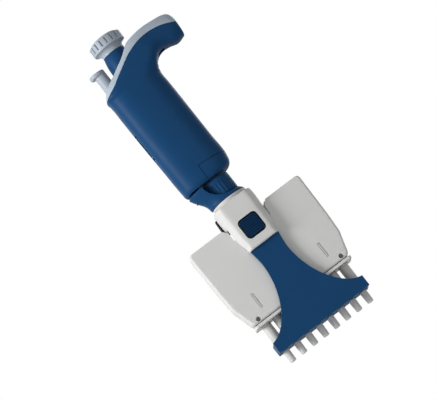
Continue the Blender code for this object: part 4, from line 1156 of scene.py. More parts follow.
@dataclass
class Plunger:
    """The sleeve, the ribbed volume knob with its cap, the rod and the return spring."""

    sleeve_low: float = 203.0
    sleeve_foot: float = 9.3
    sleeve_tip: float = 7.95
    sleeve_bore: float = 6.5
    sleeve_rows: tuple[tuple[float, float], ...] = ((9.6, 203.4), (9.6, 219.0), (9.3, 225.6), (8.7, 229.6))
    gap: float = 0.3
    ceiling_drop: float = 7.0
    knob_z: float = 233.0
    knob_radius: float = 11.9
    knob_bore: float = 2.8
    bore_depth: float = 7.3
    skirt_rows: tuple[tuple[float, float], ...] = (
        (8.0, 0.0),
        (8.05, 0.9),
        (8.9, 2.7),
        (10.6, 3.8),
        (11.5, 4.05),
    )
    rim_low: float = 237.5
    rim_high: float = 243.5
    well_radius: float = 10.3
    well_depth: float = 2.2
    ribs: int = 18
    columns_per_rib: int = 28
    rib_depth: float = 1.1
    groove_width: float = 0.5
    groove_start: float = 1.0
    cap_inset: float = 1.9
    cap_rise: float = 0.7
    dome_rise: float = 1.8
    rod_radius: float = 2.5
    rod_low: float = 128.2
    rod_rise: float = 7.0
    coil_radius: float = 5.5
    wire_radius: float = 0.55
    coil_turns: int = 7
    spring_low: float = 188.2
    stroke: float = 14.5

    def sleeve(self) -> None:
        """The blue sleeve: a tube that narrows in a soft cone towards the knob."""
        top = self.knob_z - self.gap
        ceiling = self.knob_z - self.ceiling_drop
        low, bore, hole = self.sleeve_low, self.sleeve_bore, self.knob_bore
        outer = through(np.array([*self.sleeve_rows, (self.sleeve_tip, top)]), 8)
        inner = [(hole, top), (hole, ceiling), (bore, ceiling), (bore, low)]
        profile = np.concatenate([[(self.sleeve_foot, low)], outer, inner])
        piece = shape_piece("plunger_skirt", tube(profile, 96), Finish.GRIP_BLUE, False)
        settle(piece, "plunger", "blue", "plunger_sleeve")

    def knob_profile(self) -> np.ndarray:
        """The knob's section: its bore, the flared skirt, the rim and the well for the cap.

        Returns:
            Radius and height, one point a row.
        """
        base, low, high, radius = self.knob_z, self.rim_low, self.rim_high, self.knob_radius
        ceiling = base + self.bore_depth
        skirt = through(np.array(self.skirt_rows) + [0.0, base], 6)
        flare = self.skirt_rows[-1][0]
        corners = [(flare, low - 0.45), (radius, low - 0.1), (radius, high), (self.well_radius, high)]
        rim = np.array(rounded_profile(corners, 0.5))
        lower = rim[rim[:, 1] < low + 0.4]
        upper = rim[rim[:, 1] > high - 0.5]
        span = np.linspace(0.0, 1.0, 20)[:, None]
        wall = np.array([radius, low + 0.45]) * (1 - span) + np.array([radius, high - 0.55]) * span
        well = [(self.well_radius, high - self.well_depth), (0.0, high - self.well_depth)]
        bore = [(0.0, ceiling), (self.knob_bore, ceiling), (self.knob_bore, base)]
        return np.concatenate([bore, skirt, lower, wall, upper, well])

    def knob(self) -> None:
        """The knob: a skirt that flares into a rim with rounded grooves.

        On the rim the radius is R less depth times the flat-topped curve exp(-(s/w)^6) of
        the distance s along the rim from the nearest groove, which ends above the rim's foot.
        """
        profile = self.knob_profile()
        sides = self.ribs * self.columns_per_rib
        grid = revolve(profile, sides)
        bell = np.exp(-((along_rib(sides, self.ribs, self.knob_radius) / self.groove_width) ** 6))
        fade = np.clip((profile[:, 1] - self.rim_low - self.groove_start) / 0.5, 0, 1)
        fade = np.where(profile[:, 0] > self.knob_radius - 1.2, fade, 0.0)
        shrink = 1 - self.rib_depth * fade[:, None] * bell[None] / self.knob_radius
        grid[..., :2] *= shrink[..., None]
        piece = shape_piece("volume_wheel", grid, Finish.KNOB_GREY, False, 40)
        settle(piece, "knob", "knob", "volume_knob")

    def cap(self) -> None:
        """The cap: a shallow dome, radius r sin a and rise h cos a, over a short plug."""
        angle = np.linspace(0.0, np.pi / 2, 12)
        radius = self.knob_radius - self.cap_inset
        height = self.rim_high + self.cap_rise + self.dome_rise * np.cos(angle)
        dome = np.stack([radius * np.sin(angle), height], axis=1)
        foot = self.rim_high - 1.9
        plug = [(radius, foot + 0.2), (radius - 0.3, foot), (0.0, foot)]
        piece = shape_piece("wheel_cap", revolve(np.concatenate([dome, plug]), 96), Finish.CAP_GREY, False)
        settle(piece, "knob", "cap", "knob_cap")

    def build(self) -> None:
        """Build and dress the plunger's pieces."""
        self.sleeve()
        self.knob()
        self.cap()
        shaft = rounded_bar(self.rod_radius, self.rod_low, self.knob_z + self.rod_rise)
        rod = shape_piece("plunger_shaft", shaft, Finish.STEEL, False)
        settle(rod, "plunger", "steel", "plunger_rod")
        spring_high = self.knob_z - self.bore_depth
        coil = helix(self.coil_radius, self.wire_radius, self.spring_low, spring_high, self.coil_turns)
        spring = shape_piece("plunger_spring", coil, Finish.STEEL, angle=60)
        settle(spring, "handle", "steel", "return_spring")
        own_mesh(spring)


@dataclass
class EjectorTop:
    """The ejector's button beside the knob, its rod and its spring."""

    cap_x: float = -17.85
    cap_radius: float = 5.65
    cap_low: float = 225.8
    cap_high: float = 228.5
    stem_x: float = -16.4
    stem_radius: float = 4.2
    stem_low: float = 206.0
    stem_overlap: float = 1.5
    coil_radius: float = 2.8
    wire_radius: float = 0.38
    coil_turns: int = 4
    spring_low: float = 188.2
    spring_high: float = 201.0
    stroke: float = 7.0

    def button(self) -> None:
        """The button: a cap with a dished top on a round stem that stands beside its middle."""
        low, high, radius = self.cap_low, self.cap_high, self.cap_radius
        foot = [(0.0, low), (radius - 0.7, low), (radius, low + 0.6)]
        cap = rounded_profile([*foot, (radius, high), (radius - 1.0, high), (0.0, high - 0.3)], 0.7, 5)
        piece = shape_piece("ejector_knob", revolve(cap, 80, (self.cap_x, 0.0)), Finish.KNOB_GREY, False)
        top = low + self.stem_overlap
        thick, bottom = self.stem_radius, self.stem_low
        corners = [(0.0, bottom), (thick, bottom), (thick, top), (0.0, top)]
        stem = revolve(rounded_profile(corners, 0.3), 72, (self.stem_x, 0.0))
        carve(piece, [(stem, Carving.JOIN)])
        settle(piece, "ejector", "knob", "ejector_button")

    def build(self) -> None:
        """Build and dress the button, the rod and the spring."""
        self.button()
        rod = polish("ejector_rod", Finish.STEEL)
        settle(rod, "ejector", "steel", "ejector_rod")
        ends = (self.spring_low, self.spring_high)
        coil = helix(self.coil_radius, self.wire_radius, *ends, self.coil_turns, self.stem_x)
        spring = shape_piece("ejector_coil", coil, Finish.STEEL, angle=60)
        settle(spring, "handle", "steel", "ejector_spring")
        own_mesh(spring)


@dataclass
class Neck:
    """The ejector's arm round the neck, the ribbed union nut, and the stem it holds."""

    ring_low: float = 109.6
    ring_bore: float = 7.2
    nut_low: float = 112.3
    nut_high: float = 125.1
    nut_radius: float = 10.1
    nut_bore: float = 8.5
    lip_bore: float = 5.3
    lip_height: float = 1.6
    ribs: int = 24
    columns_per_rib: int = 14
    rib_depth: float = 0.45
    groove_width: float = 0.34
    nut_way: float = 10.5
    clearance: float = 0.3
    arm_top: float = 124.9
    post_x: float = -15.8
    post_half: float = 2.6
    post_high: float = 134.5
    rod_way: tuple[float, float, float] = (-17.3, -14.3, 1.3)
    scoop_x: float = 3.3
    scoop_rise: float = 13.4
    scoop_radius: float = 13.7
    scoop_reach: float = 25.0
    arm_rows: tuple[tuple[float, float, float, float], ...] = (
        (109.6, 13.4, 12.5, 12.5),
        (110.4, 13.8, 12.2, 12.2),
        (112.0, 14.0, 10.7, 11.6),
        (115.5, 15.3, 10.7, 11.6),
        (117.8, 16.9, 10.7, 11.8),
        (120.3, 18.7, 10.7, 12.1),
        (122.5, 20.1, 10.7, 12.4),
        (124.4, 20.8, 10.7, 12.4),
        (124.9, 20.3, 10.5, 12.0),
    )
    stem_rows: tuple[tuple[float, float], ...] = (
        (2.9, 80.6),
        (6.3, 80.6),
        (6.3, 82.2),
        (5.0, 82.2),
        (5.0, 84.8),
        (6.3, 84.8),
        (6.3, 86.0),
        (5.0, 86.0),
        (5.0, 114.2),
        (7.9, 114.2),
        (7.9, 116.2),
        (2.9, 116.2),
    )
    washer_rows: tuple[tuple[float, float], ...] = ((5.0, 116.5), (7.9, 116.5), (7.9, 117.3), (5.0, 117.3))

    def scoops(self) -> list[np.ndarray]:
        """The room that bares the nut: a round hollow, and a square one from its middle to the right.

        Returns:
            Their two grids.
        """
        turn = np.linspace(0.0, 2 * np.pi, 96, endpoint=False)
        centre_z = self.nut_low + self.scoop_rise
        across = self.scoop_x + self.scoop_radius * np.cos(turn)
        hollow = np.stack([across, centre_z + self.scoop_radius * np.sin(turn)], axis=1)
        low, high = self.nut_low - self.clearance, self.arm_top + 2.0
        near, far = self.scoop_x, self.scoop_reach
        side = np.array([(near, low), (far, low), (far, high), (near, high)])
        return [sharp_slab(hollow, -2 * BEYOND, 2 * BEYOND), sharp_slab(side, -2 * BEYOND, 2 * BEYOND)]

    def arm(self) -> None:
        """The arm: rings that widen to the left like a funnel, scooped out to show the nut."""
        z, left, right, depth = np.array(self.arm_rows).T
        stations = np.stack([right, z, -left, z, depth], axis=1)
        piece = shape_piece("ejector_funnel", loft(through(stations, 6), 96, 2.2), Finish.GRIP_BLUE)
        top, half = self.arm_top, self.post_half
        post_high = (self.post_x + half, half, self.post_high)
        post = block((self.post_x - half, -half, top - 6.0), post_high, 0.5, 0.3)
        nut_room = round_bar(self.nut_way, self.nut_low - self.clearance, top + 1.0, 96)
        bore = round_bar(self.ring_bore, self.ring_low - 1.0, self.nut_low, 72)
        left, right, deep = self.rod_way
        rod_room = block((left, -deep, self.ring_low + 13.4), (right, deep, top + 50.0), 0.1, 0.05)
        carve(piece, [(post, Carving.JOIN)] + cuts(*self.scoops(), nut_room, bore, rod_room))
        settle(piece, "ejector", "blue", "ejector_arm")

    def nut(self) -> None:
        """The nut: its grip's radius is R less depth times exp(-(s/w)^2), s the way to a groove."""
        low, high, radius = self.nut_low, self.nut_high, self.nut_radius
        foot = [(radius - 0.9, low), (radius - 0.1, low + 0.5), (radius, low + 2.2)]
        outer = rounded_profile([*foot, (radius, high - 0.8), (radius - 0.5, high)], 0.5)
        grip = [point for point in outer if point[1] < low + 2.6]
        grip += [(radius, height) for height in np.linspace(low + 3.0, high - 1.6, 14)]
        grip += [point for point in outer if point[1] > high - 1.4]
        lip = low + self.lip_height
        inner = [(self.nut_bore, high), (self.nut_bore, lip), (self.lip_bore, lip)]
        sides = self.ribs * self.columns_per_rib
        grid = tube([(self.lip_bore, low), *grip, *inner], sides)
        groove = np.exp(-((along_rib(sides, self.ribs, radius) / self.groove_width) ** 2))
        height = grid[:, 0, 2]
        size = np.hypot(grid[:, 0, 0], grid[:, 0, 1])
        fade = np.clip((height - low - 0.8) / 0.8, 0, 1) * np.clip((high - 3.2 - height) / 1.5, 0, 1)
        fade = fade * (size > radius - 0.6)
        grid[..., :2] *= (1 - self.rib_depth * fade[:, None] * groove[None] / radius)[..., None]
        piece = shape_piece("ribbed_nut", grid, Finish.GRIP_BLUE, False, 40)
        settle(piece, "union_nut", "blue", "union_nut")

    def build(self) -> None:
        """Build and dress the neck's pieces."""
        self.arm()
        self.nut()
        stem_grid = tube(rounded_profile(self.stem_rows, 0.2, 2), 72)
        stem = shape_piece("turning_stem", stem_grid, Finish.STEEL, False)
        settle(stem, "head", "steel", "swivel_stem")
        washer_grid = tube(rounded_profile(self.washer_rows, 0.15, 2), 72)
        washer = shape_piece("slide_washer", washer_grid, Finish.BLACK, False)
        settle(washer, "head", "dark", "swivel_washer")


@dataclass
class LowerEjector:
    """The white collar, its dark rear piece, the release button and the fan-shaped plate."""

    apron_low: float = 72.0
    front: float = 14.3
    rim_radius: float = 12.4
    rim_swell: tuple[float, float] = (107.6, 0.5)
    rim_step: tuple[float, float] = (109.1, 0.3)
    chamfer_share: float = 0.66
    sharpness: float = 26.0
    fullness: float = 1.006
    columns: int = 144
    bore: float = 7.2
    head_way: tuple[float, float] = (-8.8, 92.0)
    latch_way: tuple[float, float] = (3.7, 104.3)
    button: tuple[float, float, float] = (6.5, 78.7, 91.5)
    button_corner: float = 2.8
    button_back: float = -12.3
    button_ribs: int = 7
    button_wave: float = 0.3
    pocket_margin: float = 0.9
    pocket_corner: float = 3.4
    pocket_depth: float = 3.8
    # The wall of the black sheet that paints the shade in the button's pocket.
    liner_wall: float = 0.45
    fan_front: float = 11.6
    fan_thickness: float = 2.0
    waist: float = 10.0
    waist_share: float = 0.797
    neck: float = 11.3
    tongue_top: float = 76.3
    bar: tuple[float, float, float, float] = (36.3, 8.5, 16.2, 7.5)
    tray_wall: float = 1.0
    tray_floor: float = 2.0
    bevel: float = 0.45
    pitch: float = 9.0
    count: int = 8
    hole_radius: float = 3.05
    latch_half: float = 15.7
    latch_rows: tuple[tuple[float, float], ...] = (
        (4.0, 92.0),
        (11.8, 92.0),
        (12.8, 93.0),
        (12.8, 97.0),
        (9.5, 104.0),
        (4.0, 104.0),
    )
    levels: tuple[tuple[float, float, float, float, float], ...] = (
        (72.0, 11.7, 13.9, 0.0, 0.86),
        (72.5, 12.0, 14.2, 0.0, 0.86),
        (75.6, 12.4, 14.3, 0.0, 0.8),
        (79.0, 13.5, 14.3, 0.0, 0.76),
        (92.0, 14.2, 14.3, 0.0, 0.73),
        (104.6, 14.5, 14.3, 0.0, 0.73),
        (106.2, 14.3, 14.2, 0.0, 0.73),
        (106.7, 14.0, 13.7, 0.1, 0.73),
        (107.0, 13.3, 13.0, 0.5, 0.73),
        (107.2, 12.9, 12.7, 0.9, 0.73),
        (107.8, 12.9, 12.7, 1.0, 0.73),
        (109.0, 12.9, 12.7, 1.0, 0.73),
        (109.3, 12.7, 12.5, 1.0, 0.73),
    )

    @property
    def waist_z(self) -> float:
        """The height of the plate's narrowest place."""
        bar_top = self.bar[2]
        return bar_top + (self.apron_low - bar_top) * self.waist_share

    def collar_skin(self) -> np.ndarray:
        """The collar's outer skin: a chamfered plan that turns into a round rim.

        At the angle a the plan's radius is 1 over the greatest of |cos a| / w, |sin a| / f
        and the chamfer's |cos a| / p + |sin a| / q, blended towards the rim's radius.

        Returns:
            A grid of points.
        """
        rows = through(np.array(self.levels), 7)
        height, width, front, share, flat_share = (column[:, None] for column in rows.T)
        share = np.clip(share, 0.0, 1.0)
        flat = width * flat_share
        side = front * self.chamfer_share
        slope = (front - side) / (width - flat)
        reach_y = front + flat * slope
        reach_x = width + side / slope
        angle = (np.arange(self.columns) * 2 * np.pi / self.columns)[None]
        across = np.abs(np.cos(angle))
        along = np.abs(np.sin(angle))
        sharp = self.sharpness
        blunt = (across / width) ** sharp + (along / front) ** sharp
        blunt = blunt + (across / reach_x + along / reach_y) ** sharp
        size = blunt ** (-1 / sharp) * self.fullness
        foot, swell = self.rim_swell
        brow, step = self.rim_step
        ring = self.rim_radius + swell * np.clip((height - foot) / 0.5, 0.0, 1.0) - step * (height > brow)
        size = size * (1 - share) + ring * share
        upright = np.repeat(height, self.columns, axis=1)
        return np.stack([size * np.cos(angle), size * np.sin(angle), upright], axis=-1)

    def pocket(self, inset: float, corner: float) -> np.ndarray:
        """The outline of the button's pocket, moved inwards by inset.

        Args:
            inset: How far it is moved inwards.
            corner: The reach of its rounded corners.

        Returns:
            The outline's points.
        """
        half, low, high = self.button
        grow = self.pocket_margin - inset
        return soft_box((-half - grow, low - grow), (half + grow, high + grow), corner)

    def collar(self) -> None:
        """The collar, hollow towards the back, with the pocket and the way for the plate's tongue."""
        piece = shape_piece("white_collar", self.collar_skin(), Finish.COLLAR_WHITE, angle=28)
        pocket_back = self.pocket_depth - self.front
        head_front, head_top = self.head_way
        latch_front, latch_top = self.latch_way
        tongue = self.waist - 0.1
        tools = cuts(
            block((-30, head_front, 60), (30, 30, head_top), 0.1, 0.0),
            block((-30, latch_front, 60), (30, 30, latch_top), 0.1, 0.0),
            round_bar(self.bore, 70.0, 110.3, 96),
            sharp_slab(self.pocket(0.0, self.pocket_corner), -self.front - BEYOND, pocket_back),
            block((-tongue, -self.fan_front - 0.3, 60.0), (tongue, 30.0, self.tongue_top + 0.3), 0.1, 0.0),
        )
        carve(piece, tools, 28)
        settle(piece, "lower_ejector", "collar", "ejector_collar")

    def release(self) -> None:
        """The release button with its fine ribs.

        The button's face is at front depth plus half the rib's height times 1 - cos of the
        height over the rib pitch.
        """
        half, low, high = self.button
        face, back = -self.front - 0.2, self.button_back
        height = np.linspace(low + 0.9, high - 0.9, 121)
        turn = (height - height[0]) / (height[-1] - height[0]) * 2 * np.pi * self.button_ribs
        ribbed = np.stack([face + self.button_wave * (1 - np.cos(turn)), height], axis=1)
        lower = [(back, low), (face + 0.9, low), (face + 0.25, low + 0.35)]
        upper = [(face + 0.25, high - 0.35), (face + 0.9, high), (back, high)]
        grid = sharp_slab(np.concatenate([lower, ribbed, upper]), -half, half, Facing.WIDTH)
        piece = shape_piece("release_key", grid, Finish.DARK_BLUE)
        shape = soft_box((-half, low), (half, high), self.button_corner)
        carve(piece, [(sharp_slab(shape, -2 * BEYOND, -BEYOND / 2), Carving.KEEP)], 50)
        settle(piece, "release_button", "navy", "release_button")

    def liner(self) -> None:
        """Paint the shade in the recess round the button: a black sheet lining the pocket's wall."""
        outside = self.pocket(0.0, self.pocket_corner)
        pocket_shade_grid = sharp_slab(outside, 0.25 - self.front, self.pocket_depth - self.front)
        # Black plastic lining the pocket wall paints the shade of the recess round the button.
        piece = shape_piece("pocket_painted_shade", pocket_shade_grid, Finish.BLACK)
        inside = sharp_slab(self.pocket(self.liner_wall, 3.1), -2 * BEYOND, -BEYOND / 2)
        carve(piece, cuts(inside))
        settle(piece, "lower_ejector", "dark")

    def plate_half_width(self, z: np.ndarray) -> np.ndarray:
        """The plate's half width at a height.

        Below the waist it grows with the share s of the way down by 1 - (1 - s^1.9)^0.6,
        and above it with the share of the way up by s^1.5.

        Args:
            z: The heights.

        Returns:
            The half width at each.
        """
        up = np.clip((z - self.waist_z) / (self.apron_low - self.waist_z), 0.0, 1.0)
        down = np.clip((self.waist_z - z) / (self.waist_z - self.bar[2]), 0.0, 1.0)
        flare = 1 - (1 - down**1.9) ** 0.6
        return self.waist + (self.neck - self.waist) * up**1.5 + (self.bar[0] - self.waist) * flare

    def plate_outline(self) -> np.ndarray:
        """The flared sheet's outline, anticlockwise in (x, z), with the tongue at its top.

        Returns:
            The outline's points.
        """
        half, bar_low, bar_top, _ = self.bar
        tongue = self.waist - 0.4
        top = self.apron_low - 0.3
        share = np.linspace(0.0, 0.985, 60) ** 0.8
        flared = self.waist_z - (self.waist_z - bar_top) * share[1:]
        z = np.concatenate([np.linspace(top, self.waist_z, 10), flared])
        edge = np.stack([self.plate_half_width(z), z], axis=1)
        shoulder = [(tongue, self.tongue_top), (tongue, top)]
        right = np.concatenate([shoulder, edge, [(half, bar_top), (half, bar_low)]])
        return np.concatenate([right, right[::-1] * [-1.0, 1.0]])[::-1]

    def plate(self) -> None:
        """The plate: a flared sheet with a tray along its foot, one hole for each nozzle."""
        half, bar_low, bar_top, bar_rear = self.bar
        front, rear = -self.fan_front, self.fan_thickness - self.fan_front
        piece = shape_piece("flared_plate", sharp_slab(self.plate_outline(), front, rear), Finish.GRIP_BLUE)
        tray = slab(soft_box((front, bar_low), (bar_rear, bar_top), 1.3), -half, half, 0.8, Facing.WIDTH)
        inner = half - self.tray_wall
        room_low = (-inner, rear, bar_low + self.tray_floor)
        room = block(room_low, (inner, bar_rear - self.tray_wall, 40.0), 0.8, 0.0)
        places = row_places(self.count, self.pitch)
        holes = [round_bar(self.hole_radius, 7.0, 12.0, 48, (x, 0.0)) for x in places]
        carve(piece, [(tray, Carving.JOIN)] + cuts(room, *holes))
        bevel = piece.modifiers.new("Moulded edge", "BEVEL")
        bevel.width = self.bevel * MM
        bevel.segments = 3
        bevel.limit_method = "ANGLE"
        bevel.angle_limit = math.radians(50)
        bevel.use_clamp_overlap = True
        settle(piece, "lower_ejector", "blue", "ejector_plate")

    def rear(self) -> None:
        """The dark latch at the collar's back."""
        half = self.latch_half
        latch = slab(soft_outline(self.latch_rows, 1.0), -half, half, 0.4, Facing.WIDTH)
        piece = shape_piece("rear_latch", latch, Finish.BLACK)
        carve(piece, cuts(round_bar(self.bore, 91.0, 105.0, 96)))
        settle(piece, "lower_ejector", "dark", "collar_rear")

    def build(self) -> None:
        """Build and dress the lower ejector's pieces."""
        self.collar()
        self.release()
        # Painted shade in the button's pocket.
        self.liner()
        self.plate()
        self.rear()


@dataclass
class Head:
    """The swivelling head: two shells, the nozzle plate, screws, nozzles and the pistons inside."""

    pitch: float = 9.0
    count: int = 8
    low: float = 32.4
    high: float = 94.4
    half_width: float = 44.7
    half_depth: float = 8.5
    wall: float = 1.8
    edge: float = 1.4
    corner: float = 3.0
    flank: tuple[tuple[float, float], ...] = ((41.9, 44.0), (43.3, 48.2), (44.1, 62.0))
    foot_half: float = 38.6
    notch_low: float = 84.5
    rear_notch: tuple[float, float, float] = (16.2, 0.8, 0.8)
    front_notch: tuple[float, float, float] = (14.8, 3.2, 3.6)
    saddle_gap: float = 0.3
    gap: float = 0.3
    stem_way: float = 5.3
    slot_x: float = 27.0
    slot: tuple[float, float, float, float] = (0.85, 39.6, 50.5, 0.8)
    slot_bar: tuple[float, float] = (0.4, -6.9)
    seats: tuple[tuple[float, float], ...] = ((1.6, 1.1), (1.0, 4.0))
    screw: tuple[float, float] = (33.7, 34.8)
    screw_rows: tuple[tuple[float, float], ...] = (
        (0.0, 0.3),
        (0.8, 0.34),
        (1.15, 0.55),
        (1.2, 0.75),
        (0.7, 0.75),
        (0.7, 3.5),
        (0.0, 3.5),
    )
    screw_slot: tuple[float, float, float] = (1.5, 0.15, 0.6)
    plate: tuple[float, float, float, float] = (38.8, 9.3, 29.8, 32.1)
    plate_way: float = 3.8
    cone_rows: tuple[tuple[float, float], ...] = ((2.27, 0.6), (2.42, 4.6), (2.54, 8.6), (2.65, 12.0))
    shank_rows: tuple[tuple[float, float], ...] = (
        (2.95, 12.15),
        (3.5, 12.6),
        (3.5, 32.1),
        (3.5, 32.4),
        (4.25, 32.4),
        (4.25, 34.0),
        (2.6, 34.0),
        (2.6, 18.4),
        (0.85, 17.6),
        (0.85, 0.0),
    )
    piston_rows: tuple[tuple[float, float], ...] = (
        (0.0, 33.1),
        (2.3, 33.1),
        (2.3, 70.3),
        (3.3, 70.3),
        (3.3, 72.1),
        (2.0, 72.1),
        (2.0, 75.6),
        (0.0, 75.6),
    )
    push_rod_radius: float = 2.5

    def outline(self, inset: float, foot: float, corner: float) -> np.ndarray:
        """The head's outline without its notch, anticlockwise in (x, z).

        Args:
            inset: How far it is moved inwards.
            foot: The height of its lower edge.
            corner: The reach of its rounded corners.

        Returns:
            The outline's points.
        """
        right = [(self.foot_half, foot), *self.flank, (self.half_width, self.high - inset)]
        return soft_outline(mirrored([(x - inset, z) for x, z in right]), corner)

    def notch(self, size: tuple[float, float, float]) -> np.ndarray:
        """The room in the top of the shells, wider at its upper edge.

        Args:
            size: Its half width, and the chamfer's width and height.

        Returns:
            A grid of points.
        """
        half, wide, deep = size
        low, high, top = self.notch_low, self.high, self.high + 5.0
        right = [(half, low), (half, high - deep), (half + wide, high), (half + wide, top)]
        return sharp_slab(np.array(mirrored(right)), -2 * BEYOND, 2 * BEYOND)

    def shell(self, name: str, notch: tuple[float, float, float], front: bool) -> bpy.types.Object:
        """One of the two shells, which are parted along the middle.

        Args:
            name: Its name.
            notch: The sizes of the notch in its top.
            front: Whether it is the front shell, with the mark slots and the screw seats.

        Returns:
            The shell.
        """
        depth = self.half_depth
        body = slab(self.outline(0.0, self.low, self.corner), -depth, depth, self.edge, Facing.DEPTH)
        piece = shape_piece(name, body, Finish.HEAD_GREY)
        inner = depth - self.wall
        room = sharp_slab(self.outline(self.wall, self.low - 2.0, 0.6), -inner, inner)
        half, deep = self.rear_notch[0] + self.wall, inner + self.saddle_gap
        saddle_low = (-half, -deep, self.notch_low - 2.0)
        saddle = block(saddle_low, (half, deep, self.high - self.saddle_gap), 0.1, 0.0)
        stem = round_bar(self.stem_way, self.notch_low - BEYOND, self.notch_low + BEYOND, 64)
        near, far = (-self.gap / 2, 20.0) if front else (-20.0, self.gap / 2)
        other_half = block((-60, near, 20), (60, far, 110), 0.1, 0.0)
        tools = cuts(room) + [(saddle, Carving.JOIN)] + cuts(self.notch(notch), stem, other_half)
        if front:
            tools += self.front_marks()
        return carve(piece, tools)

    def shells(self) -> None:
        """The two shells, the front one first."""
        front = self.shell("head_cover_front", self.front_notch, True)
        settle(front, "head", "head", "head_front_shell")
        rear = self.shell("head_cover_rear", self.rear_notch, False)
        settle(rear, "head", "head", "head_rear_shell")

    def front_marks(self) -> list[tuple[np.ndarray, Carving]]:
        """The narrow slots and the screw seats in the front shell, left and right.

        Returns:
            Grids with what each does to the shell.
        """
        half, low, high, depth = self.slot
        bar_half, bar_rear = self.slot_bar
        screw_x, screw_z = self.screw
        face = -self.half_depth
        turn = np.linspace(0.0, 2 * np.pi, 40, endpoint=False)
        tools = []
        for sign in (-1.0, 1.0):
            centre = sign * self.slot_x
            line = soft_box((centre - half, low), (centre + half, high), 0.8)
            tools += cuts(sharp_slab(line, -12.0, depth + face))
            bar_high = (centre + bar_half, bar_rear, high - 0.4)
            bar = block((centre - bar_half, face - 0.02, low + 0.4), bar_high, 0.2, 0.1)
            tools.append((bar, Carving.JOIN))
            for radius, floor in self.seats:
                across, upright = radius * np.cos(turn), radius * np.sin(turn)
                seat = np.stack([sign * screw_x + across, screw_z + upright], axis=1)
                tools += cuts(sharp_slab(seat, -12.0, floor + face))
        return tools

    def nozzle_plate(self) -> None:
        """The plate under the shells, with a way for each nozzle."""
        half, depth, low, high = self.plate
        body = block((-half, -depth, low), (half, depth, high - 0.25), 2.2, 0.45)
        piece = shape_piece("foot_plate", body, Finish.LIP_GREY)
        tools = []
        for x in (-self.screw[0], self.screw[0]):
            lug = block((x - 1.8, -6.4, low + 1.0), (x + 1.8, -4.75, self.screw[1] + 1.8), 0.3, 0.2)
            tools.append((lug, Carving.JOIN))
        pip = revolve([(0.8, low - 1.5), (1.0, low - 1.3), (1.0, low + 0.5)], 32, (35.0, -6.0))
        tools.append((pip, Carving.JOIN))
        places = row_places(self.count, self.pitch)
        tools += cuts(*[round_bar(self.plate_way, low - 4.0, high + 1.0, 56, (x, 0.0)) for x in places])
        carve(piece, tools)
        settle(piece, "head", "lip", "nozzle_plate")

    def nozzles(self) -> None:
        """The nozzles: a flanged tube with a shoulder, a tapered cone and a bore."""
        cone = through(np.array(self.cone_rows), 3)
        profile = np.concatenate([[(1.85, 0.0)], cone, self.shank_rows])
        for number, x in enumerate(row_places(self.count, self.pitch), start=1):
            grid = tube(profile, 56, (x, 0.0))
            piece = shape_piece(f"tip_cone_{number}", grid, Finish.NOZZLE_GREY, False)
            settle(piece, "head", "nozzle", f"nozzle_{number}")

    def screws(self) -> None:
        """The two small screws: a domed head with a straight slot."""
        half, thin, deep = self.screw_slot
        z = self.screw[1]
        floor = deep - self.half_depth
        for x, node in ((-self.screw[0], "plate_screw_left"), (self.screw[0], "plate_screw_right")):
            grid = revolve(rounded_profile(self.screw_rows, 0.1, 2), 40)
            lying = np.stack([grid[..., 0] + x, grid[..., 2] - self.half_depth, grid[..., 1] + z], axis=-1)
            piece = shape_piece(f"{node}_head", lying, Finish.DARK_STEEL, False)
            carve(piece, cuts(block((x - half, -9.0, z - thin), (x + half, floor, z + thin), 0.05, 0.0)))
            settle(piece, "head", "steel", node)

    def carriage(self) -> None:
        """The crossbar, its pistons and the rod that pushes it."""
        bar = polish("crossbar", Finish.FRAME_BLACK)
        settle(bar, "carriage", "chassis", "crossbar")
        profile = rounded_profile(self.piston_rows, 0.3, 3)
        for number, x in enumerate(row_places(self.count, self.pitch), start=1):
            grid = revolve(profile, 40, (x, 0.0))
            piece = shape_piece(f"ground_piston_{number}", grid, Finish.STEEL, False)
            settle(piece, "carriage", "steel", f"piston_{number}")
        low, high = (corner.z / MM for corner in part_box("push_rod"))
        rod = shape_piece("drive_shaft", rounded_bar(self.push_rod_radius, low, high), Finish.STEEL, False)
        settle(rod, "carriage", "steel", "push_rod")

    def build(self) -> None:
        """Build and dress the head's pieces."""
        self.shells()
        self.nozzle_plate()
        self.nozzles()
        self.screws()
        self.carriage()


